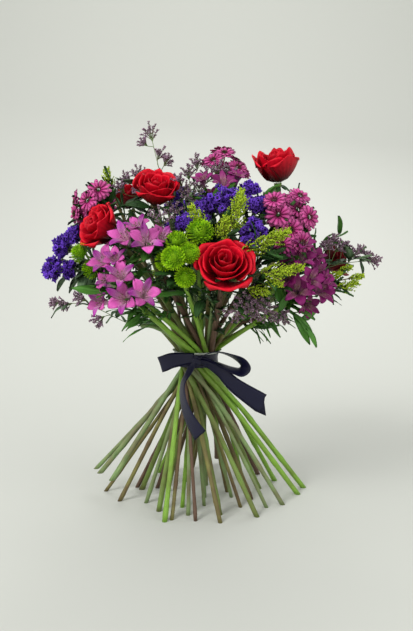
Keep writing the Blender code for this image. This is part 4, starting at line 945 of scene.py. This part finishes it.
# single leaves that show in front: foot, compass and rise, length and width
frontLeaves = {
    "alstro_left": [((-104, -106, 268), 187, 11, 44, 14), ((-86, -98, 274), 0, 50, 30, 15)],
    "solidago_mid_right": [((58, -108, 304), 0, 30, 32, 15), ((60, -106, 312), 20, 50, 26, 14)],
    "alstro_low_left": [((-24, -104, 267), 196, 6, 40, 13.5), ((-70, -98, 246), 215, -28, 30, 8)],
    "alstro_low_right": [((80, -108, 258), 95, 80, 20, 14), ((78, -110, 250), -20, 62, 22, 8)],
    "foliage_low_right": [((88, -88, 252), -12, -38, 44, 9), ((104, -92, 237), -10, -48, 34, 9),
                          ((96, -92, 246), -14, -58, 40, 9), ((90, -86, 256), -8, -24, 36, 8)],
    "rose_front": [((-4, -112, 262), -110, -30, 26, 11), ((30, -112, 262), -60, -32, 26, 11)],
    "green_centre": [((-30, -126, 290), -150, 10, 26, 12)],
    "solidago_low_right": [((60, -104, 300), -20, 20, 34, 14), ((62, -104, 290), -40, 5, 30, 13),
                           ((70, -100, 308), 10, 40, 30, 14), ((64, -108, 280), -30, -10, 30, 12),
                           ((80, -98, 296), -60, 30, 24, 12)],
    "rose_upper_left": [((-66, -34, 366), 200, 10, 34, 17), ((-70, -36, 360), -150, 25, 30, 15),
                        ((-60, -38, 362), -60, 10, 32, 16), ((-62, -36, 352), -120, 5, 34, 16)],
    "rose_left": [((-98, -74, 326), -60, 20, 30, 15), ((-96, -70, 320), -20, 30, 34, 16),
                  ((-100, -70, 334), 60, 40, 34, 16), ((-94, -70, 316), -100, -10, 30, 14)],
}


def sideLeaf(bunch, path, height, compass, rise, length, share, rng):
    # its upper face looks along the stem, as in the part
    i = int(np.argmin(np.abs(path[:, 2] - height)))
    climb = unit(path[min(i + 1, len(path) - 1)] - path[i - 1])
    addLeaf(bunch, path[i], wayTo(compass, rise), climb + (0, 0, 0.4), length, length * share, rng, 1)


def fillLeaf(bunch, root, way, rng, grass=False):
    # kept inside the box of the part, with a thin bent blade in place of some leaves
    share = np.interp(root[2], (greenery["low"], greenery["full"]), (0.45, 1.0))
    length = rng.uniform(*greenery["length"]) * (1.2 if grass else share)
    wide = rng.uniform(1.6, 2.6) if grass else rng.uniform(*greenery["wide"]) * share
    if any(inRose(root + way * length * s) for s in (0.0, 0.5, 1.0)):
        return
    tip = (root + way * length + shift) * 0.001
    if max(abs(tip[0]) - cadBox[1][0], abs(tip[1]) - cadBox[1][1]) > -0.004:
        length *= 0.5
    face = (0, 0, 1) if abs(way[2]) < 0.85 else (1, 0, 0)
    addLeaf(bunch, root, way, face, length, wide, rng, 1, 0.45 if grass else 0.18, 2, 6)


def fillInside(bunch, path, rng):
    inside = [i for i, p in enumerate(path) if greenery["low"] < p[2] < greenery["high"]]
    for k in range(greenery["leaves"] + greenery["grass"] if inside else 0):
        i = inside[int(rng.random() * len(inside))]
        climb = unit(path[min(i + 1, len(path) - 1)] - path[i - 1])
        a, b = sideways(climb)
        swing = rng.uniform(0, 6.28)
        spread = rng.uniform(0.35, 0.95)
        way = unit(climb + (a * math.cos(swing) + b * math.sin(swing)) * spread)
        fillLeaf(bunch, path[i], way, rng, k >= greenery["leaves"] and path[i][2] < 300)


for index, (name, plan) in enumerate(stemPlan.items()):
    rng = random.Random(100 + index)
    kind = plan["kind"]
    bunch = newBunch()
    mats = [stems[stemSpecial.get(name, stemTones[kind])], leafKinds[kind], cutWood]
    flower = list(headMats[kind])
    if name in deepOnes:
        flower[:2] = [orchidDeep, streakedDeep]
    mats += flower
    path, radius = traceStem(name, plan)
    along = np.arange(len(path))
    radii = radius * (1.0 - 0.25 * np.clip(along / len(path) - 0.5, 0, 1))
    radii = radii * (1 + 0.2 * np.exp(-((along * 0.41 + index) % 3.7) ** 2 * 3))
    addTube(bunch, path, radii, 10, rng.random(), 0, True)
    grown = path
    for k, head in enumerate(plan["heads"] + moreHeads.get(name, [])):
        c, d, size = np.array(head[:3], float), wayTo(*head[3:5]), head[5]
        back = {"alstro": 0.74, "green": 0.8, "pink": 0.06, "rose": 0.0, "foliage": 0.0}.get(kind, 0.9)
        if kind != "rose":
            stalk = stalkTo(grown, c - d * back * size, d)
            addTube(bunch, stalk, np.full(len(stalk), stalkWide.get(kind, 0.75)), 6, rng.random(), 0)
            if k == 0 and kind in ("limonium", "foliage"):
                grown = np.vstack([grown, stalk[1:]])
            for leaf in range(0 if c[2] > 405 else 5 if kind != "limonium" else 2):
                side = np.array([rng.uniform(-1, 1) for axis in range(3)])
                fillLeaf(bunch, stalk[2 + leaf % 4], unit(unit(c - stalk[4]) + side * 1.3), rng)
        if kind == "alstro":
            addAlstro(bunch, c, unit(d + (0, 0, 0.4)), size, rng, (3, 4, 5, 6))
        elif kind == "pink":
            addDaisy(bunch, c, d, size, rng, (3, 4, 5))
        elif kind == "green":
            addButton(bunch, c, d, size, rng, (3,))
        elif kind == "solidago":
            addPlume(bunch, c, d, size, rng, (3, 0))
        elif kind in clusterLooks:
            addCluster(bunch, kind, c, d, size, rng, (3, 0))
    for height, compass, rise, length in plan.get("leaves", []):
        sideLeaf(bunch, grown, height, compass, rise, length, leafWide[kind], rng)
    for foot, compass, rise, length, wide in frontLeaves.get(name, []):
        face = (0.0, -0.5, 0.8) if abs(rise) < 55 else (0.3, -1.0, 0.0)
        addLeaf(bunch, np.array(foot, float), wayTo(compass, rise), face, length, wide, rng, 1)
    fillInside(bunch, path, rng)
    if kind == "rose":
        tip = path[-1]
        addTube(bunch, [tip - d * 3, tip + d * 1, tip + d * 3.8], [radius * 0.8, 4.6, 5.0], 10, 0.3, 0)
        a, b = sideways(d)
        for k in range(5):
            out = a * math.cos(1.257 * k) + b * math.sin(1.257 * k)
            sepal = size * (0.75 if roseCup[name] > 0.5 else 0.45)
            addLeaf(bunch, tip + d * 1.5, out - d * 0.35, d, sepal, 5.5, rng, 1, 0.3, 2, 6)
        red = newBunch()
        tilt = unit(d + (0, 0, 0.32)) if name == "rose_front" else d
        centre = tip + d * 4.35 + tilt * 0.66 * size
        addRose(red, centre, tilt, size, random.Random(40 + index), 0, roseCup[name])
        # the rose on the right takes the darker copy of the rose red: painted shade
        makePiece(name + "_petals", red, [roseShadedCopy if name == "rose_right" else roseRed],
                  name + "_bloom")
    makePiece(name + "_stem", bunch, mats, name)
print("flowers modelled")


# the satin ribbon and the tape under it
waist = {172: 25.8, 176: 24.8, 180: 24.4, 184: 24.3, 188: 25.6, 192: 30.2, 196: 36.0}
ribbonForm = {"width": 25.0, "thick": 0.5}


def waistAt(z):
    return np.interp(z, sorted(waist), [waist[k] for k in sorted(waist)])


def satinMaterial():
    material = bpy.data.materials.new("ribbonSatin")
    material.use_nodes = True
    tree = material.node_tree
    shader = tree.nodes["Principled BSDF"]
    uv = tree.nodes.new("ShaderNodeUVMap")
    uv.uv_map = "grain"
    weave = tree.nodes.new("ShaderNodeTexWave")
    weave.inputs["Scale"].default_value = 90.0
    weave.inputs["Distortion"].default_value = 1.5
    tree.links.new(uv.outputs[0], weave.inputs["Vector"])
    color = mixColor(tree, weave.outputs[1], (0.003, 0.003, 0.014, 1), (0.008, 0.008, 0.038, 1))
    tree.links.new(color, shader.inputs["Base Color"])
    lift = tree.nodes.new("ShaderNodeBump")
    lift.inputs["Strength"].default_value = 0.12
    lift.inputs["Distance"].default_value = 0.0002
    tree.links.new(weave.outputs[1], lift.inputs["Height"])
    tree.links.new(lift.outputs[0], shader.inputs["Normal"])
    shader.inputs["Roughness"].default_value = 0.36
    shader.inputs["Sheen Weight"].default_value = 0.05
    shader.inputs["Sheen Roughness"].default_value = 0.3
    shader.inputs["Sheen Tint"].default_value = (0.55, 0.55, 0.9, 1)
    shader.inputs["Specular IOR Level"].default_value = 0.3
    return material


def addBand(bunch, levels, offset, thick, sides, mat, ripple=0.0):
    z = np.array(levels, float)
    rows = len(z)
    turn = 2 * np.pi * np.arange(sides) / sides
    rings = []
    for side in (0, 1):
        for i in (range(rows) if side == 0 else range(rows - 1, -1, -1)):
            r = waistAt(z[i]) + offset + thick * side
            wave = ripple * np.sin(turn * 3 + z[i] * 0.6)
            rings.append(np.column_stack([tie["x"] + (r + wave) * np.cos(turn), (r + wave) * np.sin(turn),
                                          np.full(sides, z[i])]))
    verts = np.vstack(rings)
    n = len(rings)
    k = np.arange(sides)
    m = (k + 1) % sides
    quads = np.vstack([np.column_stack([i * sides + k, ((i + 1) % n) * sides + k,
                                        ((i + 1) % n) * sides + m, i * sides + m]) for i in range(n)])
    uv = np.column_stack([np.tile(k / sides * 7, n), np.repeat(np.arange(n) / n, sides)])
    addShape(bunch, verts, quads, noTris, uv, 0.5, mat)


def addRibbon(bunch, points, mat, slanted=False):
    line = smoothLine([np.array(p) + (tie["x"], 0, tie["z"]) for p, s, w in points], 8)
    side = smoothLine([s for p, s, w in points], 8)
    size = smoothLine([(w * ribbonForm["width"], 0, 0) for p, s, w in points], 8)[:, 0]
    t, a, b = lineFrames(line)
    free = side[-1] / np.linalg.norm(side[-1])
    side = side - t * np.sum(side * t, axis=1)[:, None]
    side /= np.linalg.norm(side, axis=1)[:, None]
    if slanted:
        side[-1] = free
    normal = np.cross(t, side)
    steps = np.linspace(0, 1, len(line))

    def shape(u, v):
        v = np.clip(v, 0, 1)
        p, s, n = (np.column_stack([np.interp(v, steps, rows[:, k]) for k in range(3)])
                   for rows in (line, side, normal))
        cup = 0.5 * np.cos(u * 1.5) * np.sin(v * np.pi)
        return p + s * (u * np.interp(v, steps, size) * 0.5)[:, None] + n * cup[:, None]
    addSheet(bunch, shape, 6, len(line) - 1, ribbonForm["thick"], 0.5, mat)
    return np.linalg.norm(np.diff(line, axis=0), axis=1).sum() * float(np.mean(size))


# middle line from the tie, the way the width runs, and the width as a share of the ribbon's
bowLines = {
    "left_loop": [
        ((-3, -31.8, 2), (0.1, 0, 1), 0.5), ((-15, -36.5, 1.8), (0.1, 0, 1), 0.62),
        ((-29, -38.5, 0.5), (0, 0, 1), 0.74), ((-39, -37, -3.5), (-0.15, 0, 1), 0.78),
        ((-44.5, -32.5, -6), (-0.3, 0, 0.95), 0.78), ((-40, -28.8, -5), (-0.25, 0, 0.95), 0.74),
        ((-26, -29.6, -2), (0, 0, 1), 0.62), ((-8, -31.2, 0.5), (0.1, 0, 1), 0.5)],
    "right_loop": [
        ((4, -33.4, 3), (0, -0.97, 0.25), 0.4), ((13, -37.5, 8.2), (0, -0.97, 0.25), 0.45),
        ((26, -40.5, 10.8), (0.05, -0.96, 0.27), 0.55), ((41, -42, 7), (0.25, -0.92, 0.3), 0.65),
        ((54, -43, 0.5), (0.5, -0.8, 0.33), 0.7), ((59, -43, -7.5), (0.66, -0.74, -0.1), 0.7),
        ((53, -43, -12.8), (0.4, -0.8, -0.45), 0.7), ((42, -42, -10.5), (0.05, -0.9, -0.4), 0.62),
        ((30, -40.5, -6), (0, -0.93, -0.35), 0.55), ((14, -37, 0.5), (0, -0.95, -0.3), 0.45),
        ((5, -33.6, 1.5), (0, -0.97, -0.2), 0.4)],
    "right_tail": [
        ((2, -31.5, 0.5), (0.45, -0.5, 0.8), 0.42), ((13, -35.5, -3), (0.5, -0.45, 0.8), 0.5),
        ((30, -39.5, -13.7), (0.57, -0.3, 0.8), 0.62), ((47, -42.5, -30), (0.57, -0.2, 0.82), 0.78),
        ((82, -45, -53.3), (-0.14, -0.1, 0.99), 1.07)],
    "centre_tail": [
        ((-3, -31.2, 1), (1, 0, 0), 0.4), ((-8, -36, -12), (0.8, -0.6, 0), 0.42),
        ((-16, -44, -26), (0.4, -0.9, 0.1), 0.6), ((-16.5, -51.5, -40), (0.42, -0.9, 0.15), 0.75),
        ((-12, -59, -56), (0.5, -0.8, 0.3), 0.85), ((-4.7, -65, -70), (0.6, -0.7, 0.4), 0.9),
        ((4.6, -71, -83), (0.72, -0.55, 0.42), 0.9)],
}
satin = satinMaterial()
bow = newBunch()
area = sum(addRibbon(bow, points, 0, key == "right_tail") for key, points in bowLines.items())
addBand(bow, (173, 176, 180, 184, 188, 189), 1.35, 0.6, 48, 0)
area += 2 * math.pi * 26.3 * 16
knotLine = smoothLine([(-19.5, -30.6, 183.4), (-12, -31.4, 183.0), (-4.5, -30.6, 182.6)], 6)


def knotShape(u, v):
    steps = np.linspace(0, 1, len(knotLine))
    p = np.column_stack([np.interp(v, steps, knotLine[:, k]) for k in range(3)])
    h = 5.8 - 1.0 * np.cos(v * 2 * np.pi)
    puff = -2.4 * np.cos(u * 1.45) * np.sin(np.pi * (0.12 + 0.76 * v)) + 0.4 * np.cos(u * 9 + v * 3)
    return p + np.outer(u * h, (0, 0, 1)) + np.outer(puff, (0, 1, 0))


addSheet(bow, knotShape, 12, 12, 0.5, 0.5, 0)
area += 16 * 12
ribbon = makePiece("satin_bow", bow, [satin], "ribbon")
tape = newBunch()
addBand(tape, (176, 180, 184, 188, 192), 0.35, 0.5, 48, 0, 0.05)
tapeMat = petalMaterial("bindingTape", (0.50, 0.56, 0.46), (0.62, 0.66, 0.58), 0.1, 60.0, 0.1, 0.6)
makePiece("paper_tape", tape, [tapeMat], "binding_tape")
print("ribbon and tape modelled, ribbon area", round(area), "mm2")


# stage, light and camera
def plainStage():
    # one sheet of paper that curves up behind
    bpy.ops.object.select_all(action="DESELECT")
    bpy.ops.mesh.primitive_grid_add(x_subdivisions=2, y_subdivisions=90, size=9)
    floor = bpy.context.active_object
    floor.name = "floor"
    for v in floor.data.vertices:
        bend = {"from": 0.5, "radius": 2.4}
        past = v.co.y - bend["from"]
        if past > 0:
            turn = min(past / bend["radius"], math.pi / 2)
            v.co.y = bend["from"] + bend["radius"] * math.sin(turn)
            v.co.z = bend["radius"] * (1 - math.cos(turn)) + max(past - bend["radius"] * math.pi / 2, 0)
    material = bpy.data.materials.new("palePaint")
    material.use_nodes = True
    shader = material.node_tree.nodes["Principled BSDF"]
    shader.inputs["Base Color"].default_value = (0.585, 0.595, 0.55, 1)
    shader.inputs["Roughness"].default_value = 0.9
    floor.data.materials.append(material)
    bpy.ops.object.shade_smooth()


plainStage()


def softLight(name, place, aim, size, power, color=(1, 1, 1)):
    data = bpy.data.lights.new(name, "AREA")
    data.energy = power
    data.size = size
    data.color = color
    lamp = bpy.data.objects.new(name, data)
    lamp.location = place
    way = np.array(aim, float) - np.array(place, float)
    lamp.rotation_euler = Vector(way).to_track_quat("-Z", "Y").to_euler()
    bpy.context.scene.collection.objects.link(lamp)


softLight("key", (-1.3, -1.4, 1.7), (0, 0, 0.28), 1.0, 34)
softLight("fill", (1.6, -1.3, 0.9), (0, 0, 0.25), 1.4, 9)
softLight("back", (0.3, 1.5, 1.8), (0, 0, 0.35), 1.0, 12)
softLight("wall", (0, 0.6, 2.4), (0, 2.9, 1.9), 1.5, 19)
world = bpy.data.worlds.new("studio")
bpy.context.scene.world = world
world.use_nodes = True
world.node_tree.nodes["Background"].inputs[0].default_value = (0.92, 0.93, 0.92, 1)
world.node_tree.nodes["Background"].inputs[1].default_value = 0.75
bpy.context.scene.view_settings.view_transform = "Standard"

photoView = {"focal": 640.0, "pitch": 5.5, "back": 800.0, "height": 312.0}
camera = bpy.data.objects.new("camera", bpy.data.cameras.new("camera"))
camera.data.sensor_fit = "HORIZONTAL"
camera.data.sensor_width = 36.0
camera.data.lens = photoView["focal"] / 413 * 36
camera.location = (shift[0] * 0.001, (shift[1] - photoView["back"]) * 0.001, photoView["height"] * 0.001)
camera.rotation_euler = (math.radians(90 - photoView["pitch"]), 0, 0)
camera.data.clip_start = 0.01
bpy.context.scene.collection.objects.link(camera)
bpy.context.scene.camera = camera
